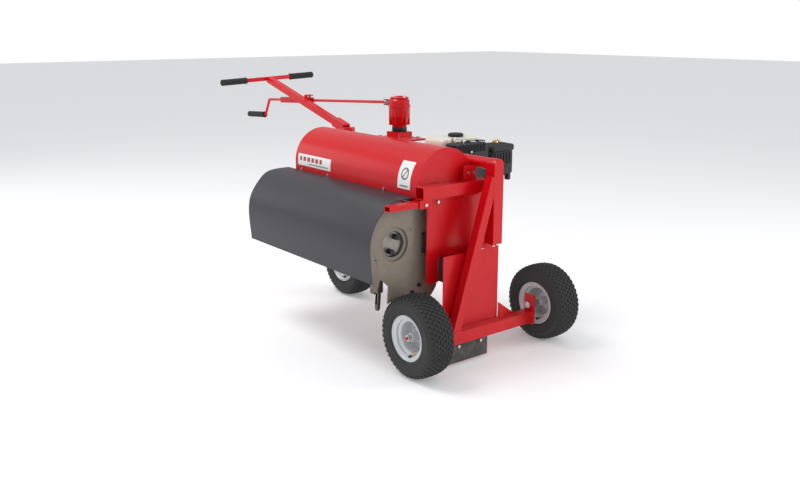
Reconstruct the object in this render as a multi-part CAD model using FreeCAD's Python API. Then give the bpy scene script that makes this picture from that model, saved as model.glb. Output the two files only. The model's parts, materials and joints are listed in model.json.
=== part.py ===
# Core aerator on a three-wheeled carriage, in millimetres, +Z up.
# The drum's crankshafts run along X, the work direction is Y, the tow handle is at -X.
# Lengths are laid out from the near axle line (x), the near wheel's centre plane (y) and the ground (z);
# every piece is then moved so that the origin lies under the middle of the whole machine.
import FreeCAD
import Part
import math
import os

V = FreeCAD.Vector

# ---------------------------------------------------------------- driving dimensions
ORIGIN_X = -958.7            # middle of the machine, measured from the near axle line
ORIGIN_Y = 336.5

TYRE_R = 165.0
TYRE_W = 127.0
TYRE_WALL = 7.0
RIM_FLANGE_R = 91.0
RIM_SEAT_R = 76.0
RIM_SHEET = 2.5
HUB_R = 17.0
AXLE_R = 9.5
RUN = 0.05                   # radial running clearance of every plain bearing

TRACK = 711.0                # near wheel to far wheel
FRONT_X = -1048.0            # steering axis
FRONT_Y = 417.0

TUBE = 50.0
WALL = 3.0
SHEET = 3.0

RAIL_Z = 90.0
BRACKET_T = 8.0
BRACKET_GAP = 16.5           # tyre side to axle bracket
POST_Y = (372.0, 423.0)
POST_Z = 473.0
BEAM_Y = 397.5
BEAM_Z = 797.0
BEAM_R = 24.0
PANEL_X = -25.0              # rear face of the carriage's front plane
PANEL_Y = (151.0, 455.0)
PANEL_Z = (90.0, 449.0)
GUIDE_Y = (190.0, 345.0)     # the two guide rails behind the panel

JACK_X = -695.0
JACK_Y = 457.0
JACK_TUBE_R = 28.5
RAM_R = 22.0
ROD_Z = 988.0                # crank rod height at the jack
ROD_DROP = math.radians(3.1) # the rod leans down towards the crank
ROD_R = 7.0
EAR_Z = (24.0, 30.0)          # the guide's ears, above and below the rod
GUIDE_X = -1465.0            # swivel of the rod guide on the tongue

PLATE_X = -136.0             # outer side of the near side plate is 8 mm further out
PLATE_T = 8.0
FAR_PLATE_X = -1004.0
HUB_Y = -13.0
HUB_Z = 506.0
HUB_HOLE_R = 68.0
HUB_DISC_R = 48.0
HUB_FACE_X = -149.0
THROW = 60.0
TYRE_PASS = [(-62, 200), (-62, 250), (-45, 270), (-20, 279), (20, 279), (45, 270), (62, 250), (62, 200)]
TIMING_Y = HUB_Y + 155.0
JOURNAL_R = 15.0
PIN_R = 13.0
WEB_T = 10.0
ARM_T = 16.0
STATIONS = 8
STATION_X = -216.0
STATION_PITCH = 103.0
TINE_R = 11.0
TINE_Y = -27.0
TINE_TIP_Z = 218.0           # tip of the lowered tine
TINE_LEAN = 5.0              # degrees
TINE_LENGTH = 150.0

PLATE_BOLTS = ((110.0, 320.0), (76.0, 295.0), (142.0, 272.0))
TOP_Z = (682.0, 731.0)
HOOD_Y = 229.0
HOOD_Z = 722.0
HOOD_R = 147.0
HOOD_X = (-1005.0, -103.0)
GUARD_X = (-1068.0, -118.0)

ENGINE_Y = 538.0
SHAFT_Z = 700.0
DECK_Z = 600.0
COUNTER_Y = 250.0
COUNTER_Z = 650.0
COUNTER_R = 12.5
BIG_PULLEY_R = 66.0
SMALL_PULLEY_R = 28.0
DRUM_SPROCKET_R = 72.0
SMALL_SPROCKET_R = 20.0
BAND_T = 6.0
SPINE_Y = (315.0, 365.0)
SPINE_Z = (536.0, 586.0)
BELT_X = -598.0
SHAFT_R = 9.5
CHAIN_X = -1030.0

parts = {}


# ---------------------------------------------------------------- helpers
def add(name, *shapes):
    """Keep one node: its solids, moved from the layout frame to the machine's own frame."""
    solids = []
    for shape in shapes:
        solids.extend(shape.Solids)
    body = Part.makeCompound(solids) if len(solids) > 1 else solids[0]
    body.translate(V(-ORIGIN_X, -ORIGIN_Y, 0))
    parts[name] = body


def block(x0, x1, y0, y1, z0, z1):
    return Part.makeBox(x1 - x0, y1 - y0, z1 - z0, V(x0, y0, z0))


def rod(start, end, radius):
    start = V(*start)
    end = V(*end)
    return Part.makeCylinder(radius, (end - start).Length, start, end - start)


def pipe(start, end, outer, inner):
    start = V(*start)
    end = V(*end)
    run = (end - start).normalize()
    return rod(start, end, outer).cut(rod(start - run, end + run, inner))


def square_pipe(x0, x1, y0, y1, z0, z1, along, wall=WALL):
    """Rectangular tube, open at both ends along the named axis."""
    low = [x0, y0, z0]
    high = [x1, y1, z1]
    for i, axis in enumerate("xyz"):
        grow = -wall if axis != along else 1.0
        low[i] -= grow
        high[i] += grow
    core = block(low[0], high[0], low[1], high[1], low[2], high[2])
    return block(x0, x1, y0, y1, z0, z1).cut(core)


def plate(points, x0, x1):
    """Flat plate across X from an outline of (y, z) points."""
    wire = Part.makePolygon([V(x0, y, z) for y, z in points + points[:1]])
    return Part.Face(wire).extrude(V(x1 - x0, 0, 0))


def side_plate(points, y0, y1):
    """Flat plate across Y from an outline of (x, z) points."""
    wire = Part.makePolygon([V(x, y0, z) for x, z in points + points[:1]])
    return Part.Face(wire).extrude(V(0, y1 - y0, 0))


def spun(points, centre, axis):
    """Solid of revolution: (radius, along) points about an axis through centre."""
    wire = Part.makePolygon([V(r, 0, h) for r, h in points + points[:1]])
    solid = Part.Face(wire).revolve(V(0, 0, 0), V(0, 0, 1), 360)
    turn = FreeCAD.Rotation(V(0, 0, 1), V(*axis))
    solid.Placement = FreeCAD.Placement(V(*centre), turn)
    return solid


def stadium(a, b, radius, x0, x1):
    """Web or link plate: two round ends at (y, z) points a and b, across X."""
    shape = rod((x0, a[0], a[1]), (x1, a[0], a[1]), radius)
    shape = shape.fuse(rod((x0, b[0], b[1]), (x1, b[0], b[1]), radius))
    run = V(0, b[0] - a[0], b[1] - a[1])
    side = V(0, -run.z, run.y).normalize() * radius
    corners = [V(x0, *a) + side, V(x0, *a) - side, V(x0, *b) - side, V(x0, *b) + side]
    wire = Part.makePolygon(corners + corners[:1])
    return shape.fuse(Part.Face(wire).extrude(V(x1 - x0, 0, 0))).removeSplitter()


def bolt(head, direction, radius=5.0, head_r=9.0, head_t=6.0, length=14.0):
    """Hexagon bolt whose head stands on the surface at head and whose shank goes the other way."""
    run = V(*direction).normalize()
    start = V(*head)
    turn = FreeCAD.Rotation(V(0, 0, 1), run)
    corners = [turn.multVec(V(head_r * math.cos(k * math.pi / 3), head_r * math.sin(k * math.pi / 3), 0))
               for k in range(7)]
    hexagon = Part.Face(Part.makePolygon([start + c for c in corners])).extrude(run * head_t)
    return hexagon.fuse(Part.makeCylinder(radius, length, start - run * length, run))


def bolt_hole(head, direction, radius=5.0, length=40.0):
    run = V(*direction).normalize()
    return Part.makeCylinder(radius, length, V(*head) - run * length * 0.5, run)


# ---------------------------------------------------------------- wheels
def tyre(centre):
    half = TYRE_W / 2
    outer = [(RIM_FLANGE_R + 1, half - 17.2), (RIM_FLANGE_R + 1, half - 11), (RIM_FLANGE_R + 14, half - 2),
             (128, half), (146, half - 4), (157, half - 13), (TYRE_R - 1, half - 24), (TYRE_R, 0)]
    outer = outer + [(r, -h) for r, h in reversed(outer[:-1])]
    wall = TYRE_WALL
    inner = [(RIM_SEAT_R + 0.3, half - 17.2), (RIM_SEAT_R + 0.3, half - 26.5), (RIM_FLANGE_R - 4,
                                                                                half - 27),
             (RIM_FLANGE_R + 14, half - 2 - wall), (128, half - wall), (142, half - 4 - wall),
             (151, half - 13 - wall), (TYRE_R - 9, half - 30), (TYRE_R - 10, 0)]
    inner = inner + [(r, -h) for r, h in reversed(inner[:-1])]
    return spun(outer + list(reversed(inner)), centre, (0, 1, 0))


def rim(centre, bore_r):
    """Pressed wheel: two flanges, a drop centre, a dished disc and a hub sleeve."""
    half = TYRE_W / 2 - 11
    t = RIM_SHEET
    seat_side = [(RIM_FLANGE_R, half - t), (RIM_SEAT_R, half - 3 - t), (RIM_SEAT_R, half - 16), (64,
                                                                                                 half - 22)]
    open_side = [(RIM_FLANGE_R, half), (RIM_SEAT_R - t, half - 3.5), (RIM_SEAT_R - t, half - 14.5),
                 (64 - t, half - 20.5)]
    seat_side = seat_side + [(r, -h) for r, h in reversed(seat_side)]
    open_side = open_side + [(r, -h) for r, h in reversed(open_side)]
    barrel = spun(seat_side + list(reversed(open_side)), centre, (0, 1, 0))
    disc = [(64 - t + 0.5, 18), (46, 22), (34, 14), (HUB_R, 14), (HUB_R, 14 - t), (35, 14 - t),
            (47, 22 - t), (64 - t + 0.5, 18 - t)]
    web = spun(disc, centre, (0, 1, 0))
    sleeve = spun([(HUB_R, -36), (HUB_R, 36), (bore_r, 36), (bore_r, -36)], centre, (0, 1, 0))
    return barrel.fuse([web, sleeve])


def build_wheels():
    near = (0, 0, TYRE_R)
    far = (0, TRACK, TYRE_R)
    front = (FRONT_X, FRONT_Y, TYRE_R)
    for name, centre in (("near", near), ("far", far), ("front", front)):
        add(name + "_tyre", tyre(centre))
        add(name + "_rim", rim(centre, AXLE_R + RUN))


# ---------------------------------------------------------------- carriage
def build_carriage():
    y_near = TYRE_W / 2 + BRACKET_GAP
    y_far = TRACK - TYRE_W / 2 - BRACKET_GAP
    rail_y = (y_near + BRACKET_T, y_far - BRACKET_T)
    rail_top = RAIL_Z + TUBE
    rail = square_pipe(-25, 25, rail_y[0], rail_y[1], RAIL_Z, rail_top, "y")
    lug = block(13, 19, 125, 354, RAIL_Z - 16, RAIL_Z)
    brace = plate([(PANEL_Y[1], rail_top), (545, rail_top), (PANEL_Y[1], 205)], -22, -16)

    brackets = []
    axles = []
    for y0, out in ((y_near, -1), (rail_y[1], 1)):
        ear = block(-27.5, 27.5, y0, y0 + BRACKET_T, 80, 210)
        ear = ear.cut(rod((0, y0 - 1, TYRE_R), (0, y0 + BRACKET_T + 1, TYRE_R), AXLE_R))
        brackets.append(ear)
        face = y0 if out < 0 else y0 + BRACKET_T
        inner = y0 + BRACKET_T if out < 0 else y0
        wheel_y = 0 if out < 0 else TRACK
        axle = rod((0, inner - out * 10, TYRE_R), (0, wheel_y + out * 52, TYRE_R), AXLE_R)
        shoulder = pipe((0, face, TYRE_R), (0, wheel_y - out * 37, TYRE_R), 16, AXLE_R - 0.5)
        head = bolt((0, inner, TYRE_R), (0, -out, 0), AXLE_R - 0.5, 15, 10, 5)
        nut = bolt((0, wheel_y + out * 38, TYRE_R), (0, out, 0), AXLE_R - 0.5, 14, 9, 1)
        axles.append(axle.fuse([shoulder, head, nut]))
    rail = rail.fuse(brackets + [brace, lug])
    add("stub_axles", *axles)

    post_mid = (POST_Y[0] + POST_Y[1]) / 2
    post = square_pipe(-25, 25, POST_Y[0], POST_Y[1], POST_Z, BEAM_Z, "z")
    cap = rod((-25, post_mid, BEAM_Z), (25, post_mid, BEAM_Z), 25.5)
    cap = cap.common(block(-25, 25, POST_Y[0], POST_Y[1], BEAM_Z - 5, BEAM_Z + 30))
    strap = block(-31, -25, POST_Y[0] + 5, POST_Y[1] - 5, PANEL_Z[1] - 60, POST_Z + 60)
    add("frame_post", post.fuse([cap, strap]))

    low = V(6, 184, rail_top)
    high = V(6, 366, 712)
    run = high - low
    tube = square_pipe(-19, 19, -19, 19, -40, run.Length + 40, "z")
    tube.Placement = FreeCAD.Placement(low, FreeCAD.Rotation(V(0, 0, 1), run))
    tube = tube.common(block(-60, 60, 0, POST_Y[0], rail_top, BEAM_Z))
    add("frame_diagonal", tube)

    beam = pipe((-25, BEAM_Y, BEAM_Z), (-1022, BEAM_Y, BEAM_Z), BEAM_R, BEAM_R - WALL)
    head_outer = rod((FRONT_X, FRONT_Y, 452), (FRONT_X, FRONT_Y, 818), 28)
    head_bore = rod((FRONT_X, FRONT_Y, 440), (FRONT_X, FRONT_Y, 828), 21 + 3 * RUN)
    gusset = side_plate([(-1030, 772), (-1030, 640), (-880, 772)], 402, 410)
    beam_core = rod((-20, BEAM_Y, BEAM_Z), (-1000, BEAM_Y, BEAM_Z), BEAM_R - WALL)
    add("top_beam", beam.fuse([head_outer, gusset.cut(beam_core)]).cut(head_bore))

    panel = block(PANEL_X - SHEET, PANEL_X, PANEL_Y[0], PANEL_Y[1], PANEL_Z[0], PANEL_Z[1])
    flange_a = block(PANEL_X - 22, PANEL_X - SHEET, PANEL_Y[1] - SHEET, PANEL_Y[1], PANEL_Z[0], PANEL_Z[1])
    panel = panel.fuse(flange_a)
    panel = panel.cut(block(-31, -25, POST_Y[0] + 5, POST_Y[1] - 5, PANEL_Z[1] - 60, PANEL_Z[1] + 1))
    panel = panel.cut(block(-26, 26, rail_y[0], rail_y[1], RAIL_Z - 1, rail_top))
    rails = [block(PANEL_X - SHEET - 24, PANEL_X - SHEET, y, y + 16, 100, 440) for y in GUIDE_Y]
    add("lower_panel", panel.fuse(rails))

    flap = block(19, 25, 125, 354, 14, RAIL_Z - 0.2)
    bolts = []
    for y in (194.0, 313.0):
        head = (25, y, RAIL_Z - 8)
        hole = bolt_hole(head, (1, 0, 0), 4, 30)
        flap = flap.cut(hole)
        rail = rail.cut(hole)
        bolts.append(bolt(head, (1, 0, 0), 4, 7, 5, 12))
    add("ground_flap", flap)
    add("lower_rail", rail)

    saddle = block(-760, -630, 378, 418, BEAM_Z + BEAM_R, BEAM_Z + BEAM_R + 8)
    shelf = block(-760, -560, 372, 505, 829, 837)
    shelf = shelf.cut(rod((JACK_X, JACK_Y, 820), (JACK_X, JACK_Y, 845), JACK_TUBE_R))
    collar = block(JACK_X - 42, JACK_X + 42, JACK_Y - 42, JACK_Y + 42, 837, 860)
    collar = collar.cut(rod((JACK_X, JACK_Y, 830), (JACK_X, JACK_Y, 870), JACK_TUBE_R))
    gusset = side_plate([(-625, 829), (-565, 829), (-625, 770)], 424, 432)
    bracket = saddle.fuse([shelf, collar, gusset])
    for x, y in ((-748, 385), (-600, 385), (-748, 492), (-600, 492)):
        bolts.append(bolt((x, y, 837), (0, 0, 1), length=5.0, radius=4.9))
        bracket = bracket.cut(bolt_hole((x, y, 837), (0, 0, 1), radius=4.9, length=11))
    add("jack_bracket", bracket)
    add("carriage_bolts", *bolts)


# ---------------------------------------------------------------- jack and crank
def build_jack():
    profile = [(JACK_TUBE_R, 600), (JACK_TUBE_R, 868), (31, 880), (33, 884), (44, 930), (47, 975),
               (47, 1004), (40, 1012), (0, 1012), (0, 1008), (36, 1008), (36, 940), (25, 905), (25, 600)]
    shell = spun([(r, z - 600) for r, z in profile], (JACK_X, JACK_Y, 600), (0, 0, 1))
    nose = rod((JACK_X - 30, JACK_Y, ROD_Z), (JACK_X - 62, JACK_Y, ROD_Z), 18)
    shell = shell.fuse(nose.cut(rod((JACK_X, JACK_Y, 0), (JACK_X, JACK_Y, 1100), 36)))
    shell = shell.cut(rod((JACK_X - 20, JACK_Y, ROD_Z), (JACK_X - 70, JACK_Y, ROD_Z), 9 + RUN))
    add("jack_housing", shell)

    shaft = rod((JACK_X - 14, JACK_Y, ROD_Z), (JACK_X - 84, JACK_Y, ROD_Z), 9)
    gear = spun([(0, 0), (18, 0), (13, 10), (0, 10)], (JACK_X - 30, JACK_Y, ROD_Z), (1, 0, 0))
    joint_x = JACK_X - 105
    fork_a = block(joint_x - 9, joint_x + 22, JACK_Y - 5, JACK_Y + 5, ROD_Z + 9.5, ROD_Z + 14)
    fork_b = block(joint_x - 9, joint_x + 22, JACK_Y - 5, JACK_Y + 5, ROD_Z - 14, ROD_Z - 9.5)
    base = block(joint_x + 16, joint_x + 22, JACK_Y - 5, JACK_Y + 5, ROD_Z - 14, ROD_Z + 14)
    add("jack_input_shaft", shaft.fuse([gear, fork_a, fork_b, base]))

    add("joint_cross", Part.makeSphere(8.6, V(joint_x, JACK_Y, ROD_Z)))

    screw = rod((JACK_X, JACK_Y, 640), (JACK_X, JACK_Y, 968), 9)
    bevel = spun([(8, 0), (28, 0), (22, 8), (8, 8)], (JACK_X, JACK_Y, 960), (0, 0, 1))
    add("jack_screw", screw.fuse(bevel))

    ram = pipe((JACK_X, JACK_Y, 520), (JACK_X, JACK_Y, 870), RAM_R, 18)
    nut = pipe((JACK_X, JACK_Y, 846), (JACK_X, JACK_Y, 870), 18, 9 + RUN)
    foot = rod((JACK_X, JACK_Y, 512), (JACK_X, JACK_Y, 520), 34)
    add("jack_ram", ram.fuse([nut, foot]))

    run = V(-math.cos(ROD_DROP), 0, -math.sin(ROD_DROP))
    centre = V(joint_x, JACK_Y, ROD_Z)

    def on_rod(distance):
        return centre + run * distance

    start = on_rod(14)
    end = on_rod(1092)
    bar = Part.makeCylinder(ROD_R, (end - start).Length, start, run)
    arm_run = V(0, -28, -84)
    arm = Part.makeCylinder(ROD_R, arm_run.Length, end, arm_run)
    elbow = Part.makeSphere(ROD_R, end)
    tip = end + arm_run
    peg = Part.makeCylinder(ROD_R - 1, 192, tip, run)
    knuckle = Part.makeSphere(ROD_R, tip)
    yoke = [block(joint_x - 24, joint_x + 8, JACK_Y + s - 2.5, JACK_Y + s + 2.5, ROD_Z - 4, ROD_Z + 4)
            for s in (-11.5, 11.5)]
    yoke.append(block(joint_x - 30, joint_x - 18, JACK_Y - 14, JACK_Y + 14, ROD_Z - 5, ROD_Z + 4))
    add("crank_rod", bar.fuse([elbow, arm, knuckle, peg] + yoke))

    grip_start = tip + run * 9
    grip = Part.makeCylinder(16, 182, grip_start, run)
    grip = grip.cut(Part.makeCylinder(ROD_R - 1 + RUN, 187, grip_start - run * 4, run))
    add("crank_grip", grip)

    guide_at = on_rod((GUIDE_X - joint_x) / run.x)
    guide = block(-20, 280, -15, 15, -15, 15).cut(block(-30, 290, -10, 10, -10, 10))
    guide.Placement = FreeCAD.Placement(guide_at, FreeCAD.Rotation(V(1, 0, 0), run))
    pins = [rod((GUIDE_X, JACK_Y, guide_at.z + s * 13), (GUIDE_X, JACK_Y, guide_at.z + s * EAR_Z[1]), 6)
            for s in (-1, 1)]
    bore = block(-40, 40, -10, 10, -10, 10)
    bore.Placement = guide.Placement
    add("rod_guide", guide.fuse(pins).cut(bore))
    return guide_at


# ---------------------------------------------------------------- steering
def build_steering(guide_at):
    column = rod((FRONT_X, FRONT_Y, 352), (FRONT_X, FRONT_Y, 834), 21)
    crown = block(FRONT_X - 36, FRONT_X + 36, FRONT_Y - 85, FRONT_Y + 85, 346, 358)
    collar = pipe((FRONT_X, FRONT_Y, 358), (FRONT_X, FRONT_Y, 372), 30, 20)
    legs = []
    for side in (-1, 1):
        inner = FRONT_Y + side * 77
        outer = FRONT_Y + side * 85
        leg = block(FRONT_X - 27.5, FRONT_X + 27.5, min(inner, outer), max(inner, outer), 136, 346)
        hole = rod((FRONT_X, inner - side * 9, TYRE_R), (FRONT_X, outer + side * 9, TYRE_R), AXLE_R)
        legs.append(leg.cut(hole))
    add("steering_fork", column.fuse([crown, collar] + legs))

    axle = rod((FRONT_X, FRONT_Y - 98, TYRE_R), (FRONT_X, FRONT_Y + 98, TYRE_R), AXLE_R)
    nuts = [bolt((FRONT_X, FRONT_Y + s * 85, TYRE_R), (0, s, 0), AXLE_R - 0.5, 14, 10, 1) for s in (-1, 1)]
    spacers = [pipe((FRONT_X, FRONT_Y + s * 37, TYRE_R), (FRONT_X, FRONT_Y + s * 77, TYRE_R), 15,
                    AXLE_R - 0.5)
               for s in (-1, 1)]
    add("front_axle", axle.fuse(nuts + spacers))

    # Tongue: a square tube that rises from a socket on the column to the cross handle.
    foot = V(FRONT_X, FRONT_Y, 836)
    top = V(-1826, FRONT_Y, 1050)
    run = top - foot
    tube = square_pipe(-16, 16, -16, 16, 20, run.Length - 11, "z", 2.5)
    tube.Placement = FreeCAD.Placement(foot, FreeCAD.Rotation(V(0, 0, 1), run))
    socket = square_pipe(-21, 21, -21, 21, 24, 120, "z", 4.9)
    socket.Placement = tube.Placement
    cup = rod((FRONT_X, FRONT_Y, 825), (FRONT_X, FRONT_Y, 850), 30)
    cup = cup.cut(rod((FRONT_X, FRONT_Y, 818), (FRONT_X, FRONT_Y, 834), 21))
    tongue = tube.fuse([socket, cup])
    back = block(GUIDE_X - 14, GUIDE_X + 14, FRONT_Y + 15, FRONT_Y + 20, guide_at.z - EAR_Z[1],
                 guide_at.z + EAR_Z[1])
    ears = [back]
    for low, high in ((-EAR_Z[1], -EAR_Z[0]), EAR_Z):
        ear = block(GUIDE_X - 14, GUIDE_X + 14, FRONT_Y + 15, JACK_Y + 14, guide_at.z + low,
                    guide_at.z + high)
        hole = rod((GUIDE_X, JACK_Y, guide_at.z - 50), (GUIDE_X, JACK_Y, guide_at.z + 50), 6 + RUN)
        ears.append(ear.cut(hole))

    half = 285.0
    tilt = math.radians(2.5)
    arm = V(0, math.cos(tilt), math.sin(tilt))
    bar = Part.makeCylinder(11, 2 * half, top - arm * half, arm)
    tongue = tongue.fuse(ears + [bar]).cut(Part.makeCylinder(8.5, 2 * half + 2, top - arm * (half + 1),
                                                             arm))
    add("tongue", tongue)
    grips = []
    for side in (-1, 1):
        start = top + arm * side * (half - 148)
        grip = Part.makeCylinder(17, 152, start, arm * side)
        grips.append(grip.cut(Part.makeCylinder(11, 148, start, arm * side)))
    add("tow_grips", *grips)


# ---------------------------------------------------------------- aerator unit
def side_outline(near):
    """Outline of the drum's side plate in (y, z); only the near one reaches down round the first tine."""
    lower = [(-120, 388), (290, 388), (290, 676), (200, 676)]
    if near:
        lower = [(55 + 175 * math.cos(math.radians(a)), 390 + 175 * math.sin(math.radians(a)))
                 for a in range(-128, -24, 8)] + [(230, 420), (230, 640)]
    return lower + [(130, 662), (60, 662), (4, 677), (-44, 664), (-77, 636), (-105, 602), (-127.5, 557),
                    (-135.3, 506), (-132.5, 434), (-126.5, 367)]


def build_unit():
    near_x = (PLATE_X, PLATE_X + PLATE_T)
    far_x = (FAR_PLATE_X, FAR_PLATE_X + PLATE_T)
    notch = [(-83, 378), (-41, 340), (-48, 252), (-96, 252), (-104, 300)]
    tie_points = [(-60, 630), (150, 648), (200, 400)]
    for name, span in (("near_side_plate", near_x), ("far_side_plate", far_x)):
        shape = plate(side_outline(name == "near_side_plate"), span[0], span[1])
        low = span[0] - 1
        high = span[1] + 1
        shape = shape.cut(rod((low, HUB_Y, HUB_Z), (high, HUB_Y, HUB_Z), HUB_HOLE_R))
        if name == "near_side_plate":
            shape = shape.cut(plate(notch, low, high))
            shape = shape.cut(plate(TYRE_PASS, low, high))
            for y, z in ((121, 611), (69, 555), (-105, 458)):
                shape = shape.cut(rod((low, y, z), (high, y, z), 3.5))
            for y, z in PLATE_BOLTS:
                shape = shape.cut(rod((low, y, z), (high, y, z), 5))
        else:
            shape = shape.cut(rod((low, TIMING_Y, HUB_Z), (high, TIMING_Y, HUB_Z), 30))
            shape = shape.cut(rod((low, COUNTER_Y, COUNTER_Z), (high, COUNTER_Y, COUNTER_Z), 24))
        add(name, shape)

    add("plate_bolts", *[bolt((near_x[1], y, z), (1, 0, 0), 5, 9, 7, PLATE_T) for y, z in PLATE_BOLTS])
    ties = [rod((FAR_PLATE_X + PLATE_T, y, z), (PLATE_X, y, z), 10) for y, z in tie_points]
    ties += [rod((near_x[1], y, z), (-99, y, z), 10) for y, z in ((200, 400), (210, 560))]
    add("tie_rods", *ties)

    # Bearing flanges: each cup is bolted behind its plate's round opening, the hub disc turns inside it.
    flanges = []
    journal = JOURNAL_R + RUN
    for x, back, depth, low in ((near_x[0], -1, 29, 0), (far_x[1], 1, 30, -4)):
        cup = [(journal, depth + 8), (62, depth + 8), (62, 8), (80, 8), (80, 0), (52, 0), (52, depth),
               (journal, depth)]
        flanges.append(spun(cup, (x, HUB_Y, HUB_Z), (back, 0, 0)))
        small = [(journal, low), (29.5, low), (29.5, 12), (journal, 12)]
        flanges.append(spun(small, (x, TIMING_Y, HUB_Z), (back, 0, 0)))
    holder_x = BELT_X + 20
    ear = plate([(COUNTER_Y - 14, COUNTER_Z), (COUNTER_Y + 14, COUNTER_Z), (SPINE_Y[0], SPINE_Z[1]),
                 (SPINE_Y[0], SPINE_Z[0])], holder_x, holder_x + 14)
    ear = ear.fuse(rod((holder_x, COUNTER_Y, COUNTER_Z), (holder_x + 14, COUNTER_Y, COUNTER_Z), 26))
    for holder in (ear, rod((far_x[0], COUNTER_Y, COUNTER_Z), (far_x[1], COUNTER_Y, COUNTER_Z), 24)):
        bore = rod((-1100, COUNTER_Y, COUNTER_Z), (-300, COUNTER_Y, COUNTER_Z), COUNTER_R + RUN)
        flanges.append(holder.cut(bore))
    add("bearing_flanges", *flanges)

    tubes = [square_pipe(-100, -50, 68, 410, TOP_Z[0], TOP_Z[1], "y"),
             square_pipe(-1050, -1010, 130, 345, TOP_Z[0], TOP_Z[1], "y")]
    tab_bolt = (-52, 82, 664)
    tab = block(-58, -52, 53, 112, 650, TOP_Z[0]).cut(bolt_hole(tab_bolt, (1, 0, 0), 4, 30))
    bracket_heads = [(-76, 322, 762), (-76, 350, 762)]
    bracket = block(-82, -76, 300, 366, TOP_Z[1], 790)
    for head in bracket_heads:
        bracket = bracket.cut(bolt_hole(head, (1, 0, 0), 4, 30))
    tubes[0] = tubes[0].fuse([tab, bracket])
    add("top_tubes", *tubes)

    spine = square_pipe(-998, -99, SPINE_Y[0], SPINE_Y[1], SPINE_Z[0], SPINE_Z[1], "x")
    riser = block(-560, -300, SPINE_Y[0] + 3, SPINE_Y[1] - 3, SPINE_Z[1], DECK_Z - 2)
    lift = block(JACK_X - 40, JACK_X + 40, SPINE_Y[1] - 10, 500, 500, 512)
    web = plate([(SPINE_Y[1], SPINE_Z[0] + 10), (SPINE_Y[1], 512), (480, 512)], JACK_X - 4, JACK_X + 4)
    web = web.cut(rod((JACK_X, JACK_Y, 500), (JACK_X, JACK_Y, 600), 34.3))
    drop = block(JACK_X - 40, JACK_X + 40, SPINE_Y[1] - 10, SPINE_Y[1], 500, SPINE_Z[0])
    hangers = [block(-140, -99, 318, 362, SPINE_Z[0], 676), block(-140, -50, 318, 362, 676, TOP_Z[0]),
               block(-1040, -998, SPINE_Y[0], 345, SPINE_Z[0], TOP_Z[0]),
               block(-1010, FAR_PLATE_X, 280, 345, SPINE_Z[0], TOP_Z[0])]
    carrier = plate([(180, 330), (372, 330), (372, 600), (180, 600)], -99, -93)
    add("spine_beam", spine.fuse([riser, lift, web, drop, carrier] + hangers))

    panel = plate([(118, 326), (180, 326), (180, 430), (472, 430), (472, 560), (445, 600),
                   (445, TOP_Z[0]), (118, TOP_Z[0])], -93, -90)
    panel = panel.cut(block(-94, -89, 317, 363, 675, TOP_Z[0] + 1))
    panel_heads = [(-90, 126, 658), (-90, 176, 658)]
    for head in panel_heads:
        panel = panel.cut(bolt_hole(head, (1, 0, 0), 4, 20))
    add("upper_panel", panel)
    bolts = [bolt(head, (1, 0, 0), 4, 6.5, 5, 3) for head in panel_heads]
    bolts += [bolt(head, (1, 0, 0), 4, 7, 5, 6) for head in [tab_bolt] + bracket_heads]

    add("unit_bolts", *bolts, *build_hood_and_guard())

    shelf = square_pipe(-92, -58, -90, 112, 655, 677, "y", 2.5)
    add("shelf_bar", shelf.cut(bolt_hole(tab_bolt, (1, 0, 0), 4, 30)))

    shoes = []
    for y in GUIDE_Y:
        pad = block(-93, -31, y - 9.5, y + 25.5, 332, 428)
        shoes.append(pad.cut(block(-53, -30, y - 0.5, y + 16.5, 330, 430)))
    head_pad = block(-1078, -1018, 345, 400, 690, 724)
    head_pad = head_pad.cut(rod((FRONT_X, FRONT_Y, 680), (FRONT_X, FRONT_Y, 730), 28.5))
    shoes.append(head_pad)
    add("guide_shoes", *shoes)

    deck = block(-560, -290, 300, 700, DECK_Z - 2, DECK_Z + 4)
    lip = block(-560, -290, 694, 700, DECK_Z - 30, DECK_Z - 2)
    add("engine_deck", deck.fuse(lip))


def hood_section(radius, skirt_z):
    """Half ring above the hood's centre line with a straight skirt on the guard side."""
    ring = Part.makeCylinder(radius, HOOD_X[1] - HOOD_X[0], V(HOOD_X[0], HOOD_Y, HOOD_Z), V(1, 0, 0))
    half = ring.common(block(HOOD_X[0], HOOD_X[1], HOOD_Y - 200, HOOD_Y + 200, HOOD_Z, HOOD_Z + 200))
    skirt = block(HOOD_X[0], HOOD_X[1], HOOD_Y - radius, HOOD_Y, skirt_z, HOOD_Z)
    return half.fuse(skirt)


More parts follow.
